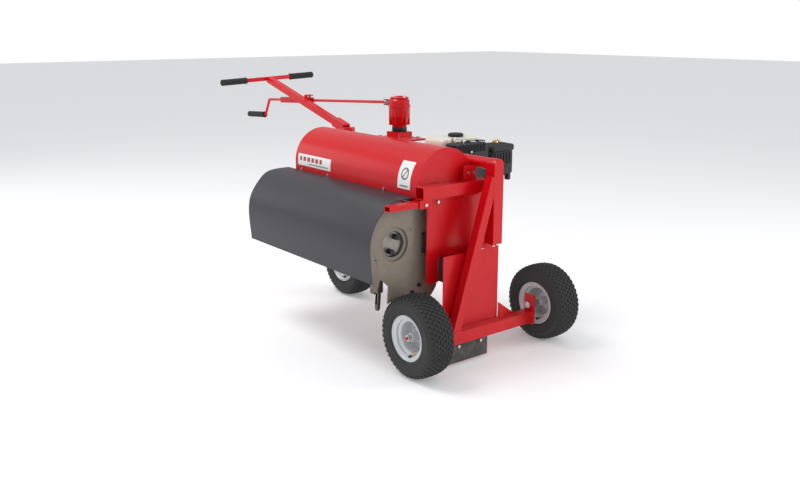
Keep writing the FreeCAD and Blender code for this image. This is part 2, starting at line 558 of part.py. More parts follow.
def build_hood_and_guard():
    skin = hood_section(HOOD_R, 664).cut(hood_section(HOOD_R - SHEET, 650))
    skin = skin.cut(block(BELT_X - 14, BELT_X + 14, 300, 400, 700, 745))
    ends = []
    for x in (HOOD_X[0], HOOD_X[1] - SHEET):
        disc = rod((x, HOOD_Y, HOOD_Z), (x + SHEET, HOOD_Y, HOOD_Z), HOOD_R)
        ends.append(disc.common(block(x, x + SHEET, 0, 500, TOP_Z[1], 900)))
    hood = skin.fuse(ends)
    bolts = []
    heads = [(x, HOOD_Y - HOOD_R, 671) for x in (-997, -774, -354, -159)]
    heads += [(x, HOOD_Y - HOOD_R, 690) for x in (-951, -733, -319)]
    for head in heads:
        hood = hood.cut(bolt_hole(head, (0, -1, 0), 3.0))
        bolts.append(bolt(head, (0, -1, 0), 2.9, 6.5, 4, 3))
    add("hood", hood)

    # Guard: one bent sheet, a straight skirt, a broad bend and a flat top under the hood's edge.
    outline = [(-131, 367), (-137, 434), (-140, 506), (-132, 559), (-109, 605), (-80, 640), (-46, 669),
               (4, 682),
               (79, 684)]
    edge = Part.BSplineCurve()
    edge.interpolate([V(GUARD_X[0], y, z) for y, z in outline])
    strip = edge.toShape().extrude(V(GUARD_X[1] - GUARD_X[0], 0, 0))
    add("drum_guard", strip.makeOffsetShape(-SHEET, 0.01, fill=True))
    return bolts


# ---------------------------------------------------------------- crankshafts and tines
def station(index):
    return STATION_X - index * STATION_PITCH


def pin_angle(index):
    """The near throw hangs down at rest and the others stand up."""
    return -90.0 if index == 0 else 90.0


def pin_at(centre_y, index):
    angle = math.radians(pin_angle(index))
    return (centre_y + THROW * math.cos(angle), HUB_Z + THROW * math.sin(angle))


def crankshaft(centre_y, near_end, far_end):
    pieces = []
    x = near_end
    centre = (centre_y, HUB_Z)
    gap = ARM_T / 2 + 1.5
    for i in range(STATIONS):
        mid = station(i)
        pin = pin_at(centre_y, i)
        pieces.append(rod((x, *centre), (mid + gap, *centre), JOURNAL_R))
        pieces.append(stadium(centre, pin, JOURNAL_R + 1, mid + gap, mid + gap + WEB_T))
        pieces.append(stadium(centre, pin, JOURNAL_R + 1, mid - gap - WEB_T, mid - gap))
        pieces.append(rod((mid + gap, *pin), (mid - gap, *pin), PIN_R))
        x = mid - gap
    pieces.append(rod((x, *centre), (far_end, *centre), JOURNAL_R))
    return pieces[0].fuse(pieces[1:])


def lift_at(index):
    """Height of an arm above its lowest place at rest."""
    return pin_at(HUB_Y, index)[1] - (HUB_Z - THROW)


def tine_axis(index):
    """Tip of a tine and the direction from the tip up its shank."""
    lean = math.radians(TINE_LEAN)
    tip = V(station(index), TINE_Y - 6, TINE_TIP_Z + lift_at(index))
    return tip, V(0, math.sin(lean), math.cos(lean))


def tine_arm(index):
    """Flat arm that rides on both crankshafts' pins, with a forged clamp block for the tine."""
    mid = station(index)
    a = pin_at(HUB_Y, index)
    b = pin_at(TIMING_Y, index)
    x0 = mid - ARM_T / 2
    x1 = mid + ARM_T / 2
    rise = lift_at(index)
    link = stadium(a, b, 24, x0, x1)
    leg = plate([(a[0] - 22, a[1] - 4), (a[0] + 22, a[1] - 4), (-8, 372 + rise), (-12, 290 + rise),
                 (-28, 290 + rise), (-44, 372 + rise)], x0, x1)
    clamp = plate([(-54, 362 + rise), (-14, 366 + rise), (-14, 296 + rise), (-58, 292 + rise)],
                  mid - 15, mid + 15)
    arm = link.fuse([leg, clamp])
    for point in (a, b):
        arm = arm.cut(rod((x0 - 1, *point), (x1 + 1, *point), PIN_R + RUN))
    tip, run = tine_axis(index)
    return arm.cut(Part.makeCylinder(TINE_R, TINE_LENGTH, tip, run))


def tine(index):
    """Hollow coring tine with a relieved side opening, leaning a little outwards at its tip."""
    tip, run = tine_axis(index)
    outer = Part.makeCylinder(TINE_R, TINE_LENGTH - 10, tip + run * 10, run)
    nose = Part.makeCone(TINE_R - 3, TINE_R, 10, tip, run)
    body = outer.fuse(nose).cut(Part.makeCylinder(TINE_R - 4.5, TINE_LENGTH, tip - run, run))
    window = block(-6, 6, -20, 0, 26, 70)
    window.Placement = FreeCAD.Placement(tip, FreeCAD.Rotation(V(0, 0, 1), run))
    return body.cut(window)


def build_drum():
    face = HUB_FACE_X
    hub = rod((face, HUB_Y, HUB_Z), (face - 12, HUB_Y, HUB_Z), HUB_DISC_R)
    studs = []
    for degrees in (64, 244):
        y = HUB_Y + 31 * math.cos(math.radians(degrees))
        z = HUB_Z + 31 * math.sin(math.radians(degrees))
        studs.append(rod((face, y, z), (face + 27, y, z), 11.5))
    gears = [rod((CHAIN_X - 4, y, HUB_Z), (CHAIN_X + 4, y, HUB_Z), DRUM_SPROCKET_R) for y in (HUB_Y,
                                                                                              TIMING_Y)]
    main = crankshaft(HUB_Y, face - 6, CHAIN_X - 4)
    add("main_crankshaft", main.fuse([hub, gears[0]]))
    add("hub_studs", *studs)
    add("timing_crankshaft", crankshaft(TIMING_Y, PLATE_X - 1, CHAIN_X - 4).fuse(gears[1]))
    for name, indexes in (("near", [0]), ("bank", range(1, STATIONS))):
        add(name + "_tines", *[tine(i) for i in indexes])
        add(name + "_tine_arms", *[tine_arm(i) for i in indexes])


# ---------------------------------------------------------------- drive
def loop_band(a, ra, b, rb, x0, x1, thick):
    """Closed belt or chain around two round pulleys at (y, z) points, across X."""
    def hull(extra):
        run = V(0, b[0] - a[0], b[1] - a[1])
        reach = run.Length
        turn = math.asin((ra - rb) / reach)
        along = V(0, run.y, run.z).normalize()
        side = V(0, -along.z, along.y)
        up = side * math.cos(turn) + along * math.sin(turn)
        down = side * -math.cos(turn) + along * math.sin(turn)
        pa = V(x0, *a)
        pb = V(x0, *b)
        corners = [pa + up * (ra + extra), pa + down * (ra + extra), pb + down * (rb + extra),
                   pb + up * (rb + extra)]
        body = Part.Face(Part.makePolygon(corners + corners[:1])).extrude(V(x1 - x0, 0, 0))
        discs = [rod((x0, *a), (x1, *a), ra + extra), rod((x0, *b), (x1, *b), rb + extra)]
        return body.fuse(discs)
    return hull(thick).cut(hull(0))


def pulley(centre, groove):
    """Flanged belt pulley with its groove bottom at the given radius."""
    lip = groove + 9
    points = [(0, -9), (lip, -9), (lip, -7), (groove, -6), (groove, 6), (lip, 7), (lip, 9), (0, 9)]
    return spun(points, (BELT_X, *centre), (1, 0, 0))


def build_drive():
    engine = (ENGINE_Y, SHAFT_Z)
    counter = (COUNTER_Y, COUNTER_Z)
    ends = (BELT_X - 9, BELT_X + 9)
    shaft = rod((-420, *engine), (ends[0], *engine), SHAFT_R)
    add("engine_shaft", shaft.fuse(pulley(engine, SMALL_PULLEY_R)))
    counter_shaft = rod((BELT_X + 40, *counter), (CHAIN_X - 6, *counter), COUNTER_R)
    sprocket = rod((CHAIN_X - 4, *counter), (CHAIN_X + 4, *counter), SMALL_SPROCKET_R)
    add("countershaft", counter_shaft.fuse([pulley(counter, BIG_PULLEY_R), sprocket]))
    gap = 0.4
    add("drive_belt", loop_band(counter, BIG_PULLEY_R + gap, engine, SMALL_PULLEY_R + gap,
                                BELT_X - 5.5, BELT_X + 5.5, BAND_T))
    add("drive_chain", loop_band((TIMING_Y, HUB_Z), DRUM_SPROCKET_R + gap, counter, SMALL_SPROCKET_R + gap,
                                 CHAIN_X - 4, CHAIN_X + 4, BAND_T))


# ---------------------------------------------------------------- engine
def build_engine():
    base_z = DECK_Z + 4
    crankcase = block(-560, -360, ENGINE_Y - 75, ENGINE_Y + 75, base_z, 779.5)
    foot = block(-560, -340, ENGINE_Y - 90, ENGINE_Y + 90, base_z, base_z + 14)
    cylinder = block(-545, -400, ENGINE_Y + 75, ENGINE_Y + 150, 690, 779.5)
    block_shape = crankcase.fuse([foot, cylinder])
    block_shape = block_shape.cut(rod((-400, ENGINE_Y, SHAFT_Z), (-700, ENGINE_Y, SHAFT_Z), SHAFT_R + RUN))

    r = 103.0
    shell = [(ENGINE_Y - r, 640), (ENGINE_Y - r, 806), (ENGINE_Y - 76, 840), (ENGINE_Y + 82, 840),
             (ENGINE_Y + r, 815),
             (ENGINE_Y + r, 640), (ENGINE_Y + 60, base_z + 16), (ENGINE_Y - 60, base_z + 16)]
    fan = plate(shell, -360, -292)
    starter = spun([(0, 0), (78, 0), (70, 22), (30, 28), (0, 28)], (-292, ENGINE_Y, 715), (1, 0, 0))
    add("fan_housing", fan.fuse(starter))

    tank = block(-500, -362, ENGINE_Y - 98, ENGINE_Y + 104, 780, 852)
    tank = tank.makeFillet(20, [e for e in tank.Edges if abs(e.CenterOfMass.z - 816) < 1])
    tank = tank.makeFillet(14, [e for e in tank.Edges if e.CenterOfMass.z > 851])
    neck = rod((-410, ENGINE_Y + 14, 844), (-410, ENGINE_Y + 14, 858), 24)
    tank = tank.fuse(neck).cut(rod((-410, ENGINE_Y + 14, 834), (-410, ENGINE_Y + 14, 864), 20))
    tank = tank.cut(block(-490, -372, ENGINE_Y - 88, ENGINE_Y + 94, 787, 842))
    add("fuel_tank", tank)
    cap = rod((-410, ENGINE_Y + 14, 846.5), (-410, ENGINE_Y + 14, 872), 33)
    cap = cap.cut(pipe((-410, ENGINE_Y + 14, 834), (-410, ENGINE_Y + 14, 858.5), 34, 19.9))
    rim_skirt = pipe((-410, ENGINE_Y + 14, 853), (-410, ENGINE_Y + 14, 860), 33, 24.3)
    add("fuel_cap", cap.fuse(rim_skirt))

    cleaner = block(-400, -300, 678, 812, 676, 818)
    cleaner = cleaner.makeFillet(16, [e for e in cleaner.Edges if abs(e.CenterOfMass.z - 747) < 1])
    cleaner = cleaner.makeFillet(8, [e for e in cleaner.Edges if e.CenterOfMass.z > 817])
    elbow = rod((-360, 716, 636), (-360, 716, 680), 22)
    add("air_cleaner", cleaner.fuse(elbow))
    carb = block(-440, -386, 664, 706, 640, 676)
    add("engine_block", block_shape, carb)
    muffler = block(-545, -440, 690, 780, 700, 800)
    add("muffler", muffler.cut(block(-540, -445, 695, 775, 705, 795)))
    handle = block(-262, -250, ENGINE_Y - 22, ENGINE_Y + 22, 760, 774)
    add("starter_handle", handle.fuse(rod((-264, ENGINE_Y, 767), (-250, ENGINE_Y, 767), 5)))
    lever_y = ENGINE_Y + 74
    lever = rod((-335, lever_y, 840.3), (-335, lever_y, 848), 9)
    add("throttle_lever", lever.fuse(block(-335, -288, lever_y - 4, lever_y + 4, 844, 848)))


build_wheels()
build_carriage()
guide_centre = build_jack()
build_steering(guide_centre)
build_unit()
build_drum()
build_drive()
build_engine()

os.makedirs("parts", exist_ok=True)
low = V(1e9, 1e9, 1e9)
high = V(-1e9, -1e9, -1e9)
for name, shape in parts.items():
    shape.exportStep("parts/" + name + ".step")
    box = shape.BoundBox
    low = V(min(low.x, box.XMin), min(low.y, box.YMin), min(low.z, box.ZMin))
    high = V(max(high.x, box.XMax), max(high.y, box.YMax), max(high.z, box.ZMax))
    if not shape.isValid():
        print("not valid:", name)
print(len(parts), "nodes, box", low, high)
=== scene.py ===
"""Finished look of a core aerator: its CAD frame dressed with finishes, with modelled wheels, engine and trim."""
from __future__ import annotations

import json
import logging
import math
from dataclasses import dataclass, field
from enum import Enum
from typing import Iterable, Sequence

import bpy
from mathutils import Matrix, Vector


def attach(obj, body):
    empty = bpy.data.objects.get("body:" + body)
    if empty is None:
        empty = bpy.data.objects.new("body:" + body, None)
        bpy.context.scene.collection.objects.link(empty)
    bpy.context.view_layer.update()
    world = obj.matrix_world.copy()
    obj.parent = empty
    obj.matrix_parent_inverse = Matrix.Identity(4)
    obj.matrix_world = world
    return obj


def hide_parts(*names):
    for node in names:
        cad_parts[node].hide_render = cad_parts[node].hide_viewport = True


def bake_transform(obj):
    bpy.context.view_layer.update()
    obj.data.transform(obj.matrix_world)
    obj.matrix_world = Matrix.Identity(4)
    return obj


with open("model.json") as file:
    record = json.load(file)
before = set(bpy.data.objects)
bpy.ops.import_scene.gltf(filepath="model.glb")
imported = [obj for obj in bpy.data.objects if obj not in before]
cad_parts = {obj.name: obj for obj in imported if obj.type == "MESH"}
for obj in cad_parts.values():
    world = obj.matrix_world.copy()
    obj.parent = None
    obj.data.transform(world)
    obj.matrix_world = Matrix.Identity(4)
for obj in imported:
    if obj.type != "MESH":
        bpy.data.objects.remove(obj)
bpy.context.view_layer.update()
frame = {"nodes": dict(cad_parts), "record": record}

LOG = logging.getLogger("aerator")
Point = tuple[float, float, float]
ORIGIN = Vector((0.9587, -0.3365, 0.0))
FULL_TURN = 2 * math.pi
SMOOTH_ANGLE = math.radians(35)
SAME_POINT = 1e-5


def at(x: float, y: float, z: float) -> Vector:
    """Point in the machine's frame from layout millimetres.

    Args:
        x: Distance from the near axle line, towards the two-wheeled end.
        y: Distance from the near wheel's centre plane.
        z: Height above the ground.

    Returns:
        The point in metres.
    """
    return ORIGIN + Vector((x, y, z)) / 1000.0


class Axis(Enum):
    """The three directions a turned or drawn piece can follow."""

    X = (1.0, 0.0, 0.0)
    Y = (0.0, 1.0, 0.0)
    Z = (0.0, 0.0, 1.0)


# ----- shader maths
class Value:
    """A shader socket that can be used in ordinary arithmetic."""

    def __init__(self, graph: "Graph", socket: bpy.types.NodeSocket) -> None:
        """Keep the socket and the graph it belongs to."""
        self.graph = graph
        self.socket = socket

    def _math(self, operation: str, *others: "Value | float", swap: bool = False) -> "Value":
        """Math node on this value and the others, with the order turned round if swap is set."""
        terms = [self, *others]
        if swap:
            terms.reverse()
        inputs = dict(enumerate(terms))
        return self.graph.node("ShaderNodeMath", {"operation": operation}, inputs)

    def __add__(self, other: "Value | float") -> "Value":
        """Sum."""
        return self._math("ADD", other)

    def __radd__(self, other: float) -> "Value":
        """Sum, this value second."""
        return self._math("ADD", other)

    def __sub__(self, other: "Value | float") -> "Value":
        """Difference."""
        return self._math("SUBTRACT", other)

    def __rsub__(self, other: float) -> "Value":
        """Difference, this value second."""
        return self._math("SUBTRACT", other, swap=True)

    def __mul__(self, other: "Value | float") -> "Value":
        """Product."""
        return self._math("MULTIPLY", other)

    def __truediv__(self, other: "Value | float") -> "Value":
        """Quotient."""
        return self._math("DIVIDE", other)

    def __pow__(self, other: "Value | float") -> "Value":
        """Power."""
        return self._math("POWER", other)

    def above(self, limit: float, soft: float = 0.0) -> "Value":
        """One where this value is above limit, zero elsewhere, with an optional soft edge."""
        if soft <= 0.0:
            return self._math("GREATER_THAN", limit)
        return self.graph.node("ShaderNodeMapRange", {"interpolation_type": "SMOOTHSTEP"},
                               {"Value": self, "From Min": limit - soft, "From Max": limit + soft})

    def size(self) -> "Value":
        """This value without its sign."""
        return self._math("ABSOLUTE")

    def fraction(self) -> "Value":
        """What is left of this value above the whole number below it."""
        return self._math("FRACT")

    def clamped(self) -> "Value":
        """This value held between zero and one."""
        return self.graph.node("ShaderNodeClamp", {}, {"Value": self})


class Graph:
    """Node tree of one material, with one method that adds any node."""

    def __init__(self, name: str) -> None:
        """Start a material with its surface shader and the object's own coordinates."""
        self.material = bpy.data.materials.new(name)
        self.material.use_nodes = True
        self.tree = self.material.node_tree
        self.shader = self.tree.nodes["Principled BSDF"]
        self.place = self.node("ShaderNodeTexCoord", {}, {}, "Object")

    def node(self, kind: str, settings: dict, inputs: dict, output: "str | int" = 0) -> Value:
        """Add a node.

        Args:
            kind: Node type name.
            settings: Attributes to set on the node.
            inputs: Socket name or index to a Value or a plain value.
            output: Name or index of the socket to return.

        Returns:
            The chosen output, ready for arithmetic.
        """
        made = self.tree.nodes.new(kind)
        for key, setting in settings.items():
            setattr(made, key, setting)
        for key, given in inputs.items():
            if isinstance(given, Value):
                self.tree.links.new(given.socket, made.inputs[key])
            else:
                made.inputs[key].default_value = given
        return Value(self, made.outputs[output])

    def noise(self, scale: float, detail: float = 4.0, rough: float = 0.55) -> Value:
        """Cloudy noise over the object's own coordinates."""
        return self.node("ShaderNodeTexNoise", {},
                         {"Vector": self.place, "Scale": scale, "Detail": detail, "Roughness": rough}, "Fac")

    def specks(self, scale: float) -> Value:
        """Distance to scattered cell centres."""
        return self.node("ShaderNodeTexVoronoi", {}, {"Vector": self.place, "Scale": scale}, "Distance")

    def mix(self, factor: Value, a: "Value | tuple", b: "Value | tuple") -> Value:
        """Colour between a and b."""
        def colour(c: "Value | tuple") -> "Value | tuple":
            """Socket as it is, plain colour with its alpha."""
            return c if isinstance(c, Value) else (*c, 1.0)
        return self.node("ShaderNodeMix", {"data_type": "RGBA"}, {0: factor, 6: colour(a), 7: colour(b)}, 2)

    def bump(self, height: Value, strength: float, distance: float) -> Value:
        """Normal bent by a height in metres times distance."""
        return self.node("ShaderNodeBump", {},
                         {"Height": height, "Strength": strength, "Distance": distance}, "Normal")

    def plug(self, **sockets: "Value | float | tuple") -> bpy.types.Material:
        """Connect or set sockets of the surface shader, with spaces written as underscores."""
        for key, given in sockets.items():
            socket = self.shader.inputs[key.replace("_", " ")]
            if isinstance(given, Value):
                self.tree.links.new(given.socket, socket)
            else:
                socket.default_value = given
        return self.material


@dataclass(frozen=True)
class Finish:
    """A surface finish: a base colour broken up by clouds, dust, fine grain and small dents."""

    name: str
    slot: str
    colour: Point
    second: Point
    rough: float
    rough_spread: float = 0.08
    metal: float = 0.0
    coat: float = 0.0
    cloud_scale: float = 9.0
    cloud_share: float = 0.5
    grain_scale: float = 900.0
    grain_height: float = 0.00004
    dust: float = 0.0
    dust_colour: Point = (0.30, 0.27, 0.22)
    speck_scale: float = 0.0
    speck_colour: Point = (0.05, 0.045, 0.04)
    sheen: float = 0.5

    def material(self) -> bpy.types.Material:
        """The material, built the first time it is asked for."""
        known = bpy.data.materials.get(self.name)
        if known is not None:
            return known
        graph = Graph(self.name)
        clouds = graph.noise(self.cloud_scale)
        fine = graph.noise(self.grain_scale, 2.0)
        colour = graph.mix((clouds * self.cloud_share).clamped(), self.colour, self.second)
        rough = self.rough + (clouds - 0.5) * self.rough_spread + (fine - 0.5) * (self.rough_spread * 0.5)
        if self.dust > 0.0:
            low = graph.node("ShaderNodeSeparateXYZ", {}, {0: graph.place}, "Z")
            film = (graph.noise(26.0, 6.0, 0.65).above(0.5, 0.14) * (1.0 - low * 1.4) * self.dust).clamped()
            colour = graph.mix(film, colour, self.dust_colour)
            rough = rough + film * 0.3
        if self.speck_scale > 0.0:
            marks = 1.0 - graph.specks(self.speck_scale).above(0.11, 0.05)
            marks = marks * graph.noise(31.0).above(0.5, 0.06)
            colour = graph.mix((marks * 0.6).clamped(), colour, self.speck_colour)
        return graph.plug(Base_Color=colour, Roughness=rough.clamped(), Metallic=self.metal, Coat_Weight=self.coat,
                          Coat_Roughness=0.12, Specular_IOR_Level=self.sheen,
                          Normal=graph.bump(fine, 0.5, self.grain_height))

    def dress(self, piece: bpy.types.Object) -> bpy.types.Object:
        """Give a piece this finish."""
        piece.data.materials.clear()
        piece.data.materials.append(self.material())
        return piece


RED = Finish("red_powder_coat", "red_paint", (0.610, 0.0008, 0.0055), (0.540, 0.0004, 0.0040), 0.30, 0.06,
             grain_scale=650.0, grain_height=0.00003, dust=0.03, sheen=0.35)
GREY = Finish("grey_plate_paint", "grey_paint", (0.262, 0.228, 0.180), (0.178, 0.154, 0.121), 0.46, 0.16, metal=0.25,
              cloud_scale=23.0, cloud_share=1.0, speck_scale=95.0)
DARK_FLAP = Finish("flap_paint", "grey_paint", (0.040, 0.038, 0.037), (0.028, 0.027, 0.026), 0.48, 0.10, dust=0.2)
CHARCOAL = Finish("charcoal_paint", "charcoal_paint", (0.024, 0.0235, 0.0255), (0.018, 0.0175, 0.019), 0.40, 0.05,
                  grain_scale=1400.0, grain_height=0.00005, sheen=0.6)
BLACK = Finish("black_paint", "black_paint", (0.018, 0.018, 0.020), (0.030, 0.029, 0.028), 0.38, 0.10, coat=0.1)
SILVER = Finish("wheel_silver", "wheel_silver", (0.56, 0.56, 0.58), (0.43, 0.43, 0.45), 0.27, 0.10, metal=0.85,
                coat=0.2, dust=0.08)
TURF = Finish("turf_rubber", "turf_rubber", (0.008, 0.008, 0.0085), (0.015, 0.015, 0.0145), 0.55, 0.12,
              cloud_scale=22.0, grain_height=0.00010, dust=0.12, dust_colour=(0.11, 0.10, 0.085))
ZINC = Finish("zinc_plate", "zinc", (0.66, 0.66, 0.63), (0.55, 0.54, 0.50), 0.30, 0.12, metal=1.0, cloud_scale=60.0)
STEEL = Finish("oiled_steel", "dark_steel", (0.17, 0.16, 0.145), (0.10, 0.085, 0.07), 0.38, 0.18, metal=0.9,
               cloud_scale=38.0, cloud_share=0.9, speck_scale=120.0)
GRIP = Finish("grip_rubber", "grip_rubber", (0.018, 0.018, 0.019), (0.030, 0.030, 0.030), 0.62, 0.10,
              grain_height=0.00012)
SLIDE = Finish("slide_plastic", "guide_plastic", (0.026, 0.025, 0.025), (0.040, 0.038, 0.036), 0.50, 0.08)
ALLOY = Finish("cast_alloy", "engine_alloy", (0.44, 0.44, 0.45), (0.34, 0.34, 0.34), 0.48, 0.14, metal=0.85,
               grain_scale=420.0, grain_height=0.00020)
TANK = Finish("tank_plastic", "tank_plastic", (0.82, 0.79, 0.69), (0.76, 0.72, 0.61), 0.28, 0.05, coat=0.4)
PLASTIC = Finish("black_plastic", "black_plastic", (0.020, 0.020, 0.021), (0.034, 0.033, 0.032), 0.45, 0.08,
                 grain_scale=700.0, grain_height=0.00010)
CUP = Finish("bearing_cup", "dark_steel", (0.235, 0.215, 0.180), (0.165, 0.150, 0.125), 0.42, 0.12, metal=0.45,
             cloud_scale=24.0, cloud_share=0.8)
HUB = Finish("turned_hub", "dark_steel", (0.330, 0.305, 0.265), (0.230, 0.210, 0.180), 0.36, 0.14, metal=0.55,
             cloud_scale=30.0, cloud_share=0.8)
TINE = Finish("worn_tine_steel", "dark_steel", (0.235, 0.195, 0.150), (0.110, 0.085, 0.062), 0.42, 0.2, metal=0.65,
              cloud_scale=34.0, cloud_share=1.0, speck_scale=150.0)
BRASS = Finish("brass", "black_plastic", (0.70, 0.48, 0.20), (0.52, 0.34, 0.13), 0.30, 0.10, metal=1.0)
MUFFLER = Finish("hot_steel", "dark_steel", (0.16, 0.13, 0.10), (0.07, 0.06, 0.05), 0.55, 0.18, metal=0.8,
                 cloud_scale=30.0)

SLOT_FINISH = {"red_paint": RED, "grey_paint": GREY, "charcoal_paint": CHARCOAL, "black_paint": BLACK,
               "wheel_silver": SILVER, "turf_rubber": TURF, "zinc": ZINC, "dark_steel": STEEL, "grip_rubber": GRIP,
               "guide_plastic": SLIDE, "engine_alloy": ALLOY, "tank_plastic": TANK, "black_plastic": PLASTIC}


@dataclass(frozen=True)
class LabelFinish(Finish):
    """White label with generic bars, or a plain crossed ring, drawn from the label's own place on the machine."""

    low: Point = (0.0, 0.0, 0.0)
    high: Point = (1.0, 0.0, 1.0)
    ring: bool = False

    def material(self) -> bpy.types.Material:
        """Material for one label."""
        graph = Graph(self.name)
        x = graph.node("ShaderNodeSeparateXYZ", {}, {0: graph.place}, "X")
        z = graph.node("ShaderNodeSeparateXYZ", {}, {0: graph.place}, "Z")
        u = (x - self.low[0]) / (self.high[0] - self.low[0])
        v = (z - self.low[2]) / (self.high[2] - self.low[2])
        if self.ring:
            reach = ((u - 0.5) ** 2.0 + ((v - 0.55) * 1.3) ** 2.0) ** 0.5
            ring = 1.0 - (reach - 0.25).size().above(0.045, 0.012)
            bar = (1.0 - (u - v + 0.05).size().above(0.05, 0.012)) * (1.0 - reach.above(0.25, 0.012))
            marks = ((ring + bar) * 0.85).clamped()
            line = (1.0 - (v - 0.1).size().above(0.03, 0.01)) * (1.0 - (u - 0.5).size().above(0.32))
        else:
            bars = (u * 8.0).fraction().above(0.34, 0.06)
            marks = bars * (1.0 - (v - 0.6).size().above(0.19, 0.03)) * (1.0 - (u - 0.4).size().above(0.34))
            line = (1.0 - (v - 0.2).size().above(0.05, 0.02)) * (1.0 - (u - 0.62).size().above(0.3))
        colour = graph.mix(marks, self.colour, self.second)
        colour = graph.mix((line * 0.8).clamped(), colour, (0.05, 0.05, 0.055))
        return graph.plug(Base_Color=colour, Roughness=self.rough + graph.noise(60.0) * 0.06)


# ----- modelling
class Bench:
    """Modelling steps shared by every sub-assembly."""

    @staticmethod
    def clear() -> None:
        """Leave nothing selected."""
        if bpy.context.object is not None and bpy.context.object.mode != "OBJECT":
            bpy.ops.object.mode_set(mode="OBJECT")
        bpy.ops.object.select_all(action="DESELECT")

    @classmethod
    def pick(cls, piece: bpy.types.Object) -> None:
        """Make a piece the only one selected, and active."""
        cls.clear()
        piece.select_set(True)
        bpy.context.view_layer.objects.active = piece

    @staticmethod
    def settle(name: str) -> bpy.types.Object:
        """Name the active object and put its place and turn into its mesh."""
        piece = bpy.context.object
        piece.name = name
        piece.data.name = name
        bpy.ops.object.transform_apply(location=True, rotation=True, scale=True)
        return piece

    @staticmethod
    def soften(width: float, segments: int = 2) -> None:
        """Bevel every edge of the mesh in edit mode."""
        bpy.ops.mesh.select_all(action="SELECT")
        bpy.ops.mesh.bevel(offset=width, segments=segments, affect="EDGES")

    @classmethod
    def block(cls, name: str, low: Vector, high: Vector, edge: float = 0.001, segments: int = 2) -> bpy.types.Object:
        """Box with rounded edges.

        Args:
            name: Piece name.
            low: Corner with the smallest coordinates.
            high: Corner with the largest.
            edge: Width of each rounded edge.
            segments: Steps across it.

        Returns:
            The box.
        """
        cls.clear()
        bpy.ops.mesh.primitive_cube_add(size=1.0, location=(low + high) / 2)
        bpy.ops.object.mode_set(mode="EDIT")
        bpy.ops.transform.resize(value=tuple(high - low))
        if edge > 0.0:
            cls.soften(edge, segments)
        bpy.ops.object.mode_set(mode="OBJECT")
        piece = cls.settle(name)
        bpy.ops.object.shade_smooth_by_angle(angle=SMOOTH_ANGLE)
        return piece

    @classmethod
    def bar(cls, name: str, start: Vector, end: Vector, radius: float, edge: float = 0.001,
            sides: int = 32) -> bpy.types.Object:
        """Round or many-sided bar.

        Args:
            name: Piece name.
            start: Centre of one end.
            end: Centre of the other.
            radius: Radius to the corners.
            edge: Width of the rounded end edges.
            sides: Number of sides.

        Returns:
            The bar.
        """
        cls.clear()
        run = end - start
        bpy.ops.mesh.primitive_cylinder_add(vertices=sides, radius=radius, depth=run.length,
                                            location=(start + end) / 2, rotation=run.to_track_quat("Z", "Y").to_euler())
        if edge > 0.0:
            bpy.ops.object.mode_set(mode="EDIT")
            bpy.ops.mesh.select_mode(type="EDGE")
            bpy.ops.mesh.select_all(action="DESELECT")
            bpy.ops.mesh.edges_select_sharp(sharpness=math.radians(75))
            bpy.ops.mesh.bevel(offset=edge, segments=2, affect="EDGES")
            bpy.ops.object.mode_set(mode="OBJECT")
        piece = cls.settle(name)
        bpy.ops.object.shade_smooth_by_angle(angle=SMOOTH_ANGLE)
        return piece

    @classmethod
    def lathe(cls, name: str, profile: Sequence[tuple[float, float]], centre: Vector, axis: Axis, steps: int = 72,
              closed: bool = True, start: float = 0.0, turn: float = FULL_TURN) -> bpy.types.Object:
        """Turned piece from a profile drawn point by point and spun round an axis.

        Args:
            name: Piece name.
            profile: (radius, distance along the axis) points in metres.
            centre: Point on the axis where the distance is zero.
            axis: Axis of the turn.
            steps: Number of steps in a full turn.
            closed: Whether the last point joins the first.
            start: Angle of the drawn profile about the axis, from straight up, or from X on an upright axis.
            turn: Angle swept, against the sense of start.

        Returns:
            The finished object.
        """
        along = Vector(axis.value)
        out = Vector((0.0, 0.0, 1.0)) if axis is not Axis.Z else Vector((1.0, 0.0, 0.0))
        out = Matrix.Rotation(start, 3, along) @ out
        points = [centre + out * r + along * h for r, h in profile]
        cls.clear()
        bpy.ops.mesh.primitive_plane_add(size=0.01, location=points[0])
        bpy.ops.object.mode_set(mode="EDIT")
        bpy.ops.mesh.select_mode(type="VERT")
        bpy.ops.mesh.select_all(action="SELECT")
        bpy.ops.mesh.merge(type="CENTER")
        last = points[0]
        for point in points[1:] + (points[:1] if closed else []):
            bpy.ops.mesh.extrude_region_move(TRANSFORM_OT_translate={"value": tuple(point - last)})
            last = point
        bpy.ops.mesh.select_all(action="SELECT")
        bpy.ops.mesh.remove_doubles(threshold=1e-6)
        bpy.ops.mesh.spin(steps=steps, angle=turn, center=tuple(centre), axis=tuple(along))
        bpy.ops.mesh.select_all(action="SELECT")
        bpy.ops.mesh.remove_doubles(threshold=SAME_POINT)
        bpy.ops.mesh.normals_make_consistent(inside=False)
        bpy.ops.object.mode_set(mode="OBJECT")
        piece = cls.settle(name)
        bpy.ops.object.shade_smooth_by_angle(angle=math.radians(38))
        return piece

    @classmethod
    def join(cls, name: str, pieces: Iterable[bpy.types.Object]) -> bpy.types.Object:
        """One object from several."""
        cls.clear()
        for piece in pieces:
            piece.select_set(True)
            bpy.context.view_layer.objects.active = piece
        bpy.ops.object.join()
        return cls.settle(name)

    @classmethod
    def copy(cls, piece: bpy.types.Object, name: str, move: Matrix) -> bpy.types.Object:
        """Copy of a finished piece with a mesh of its own, moved by a matrix."""
        twin = piece.copy()
        twin.data = piece.data.copy()
        bpy.context.collection.objects.link(twin)
        twin.matrix_world = move @ twin.matrix_world
        cls.pick(twin)
        return cls.settle(name)

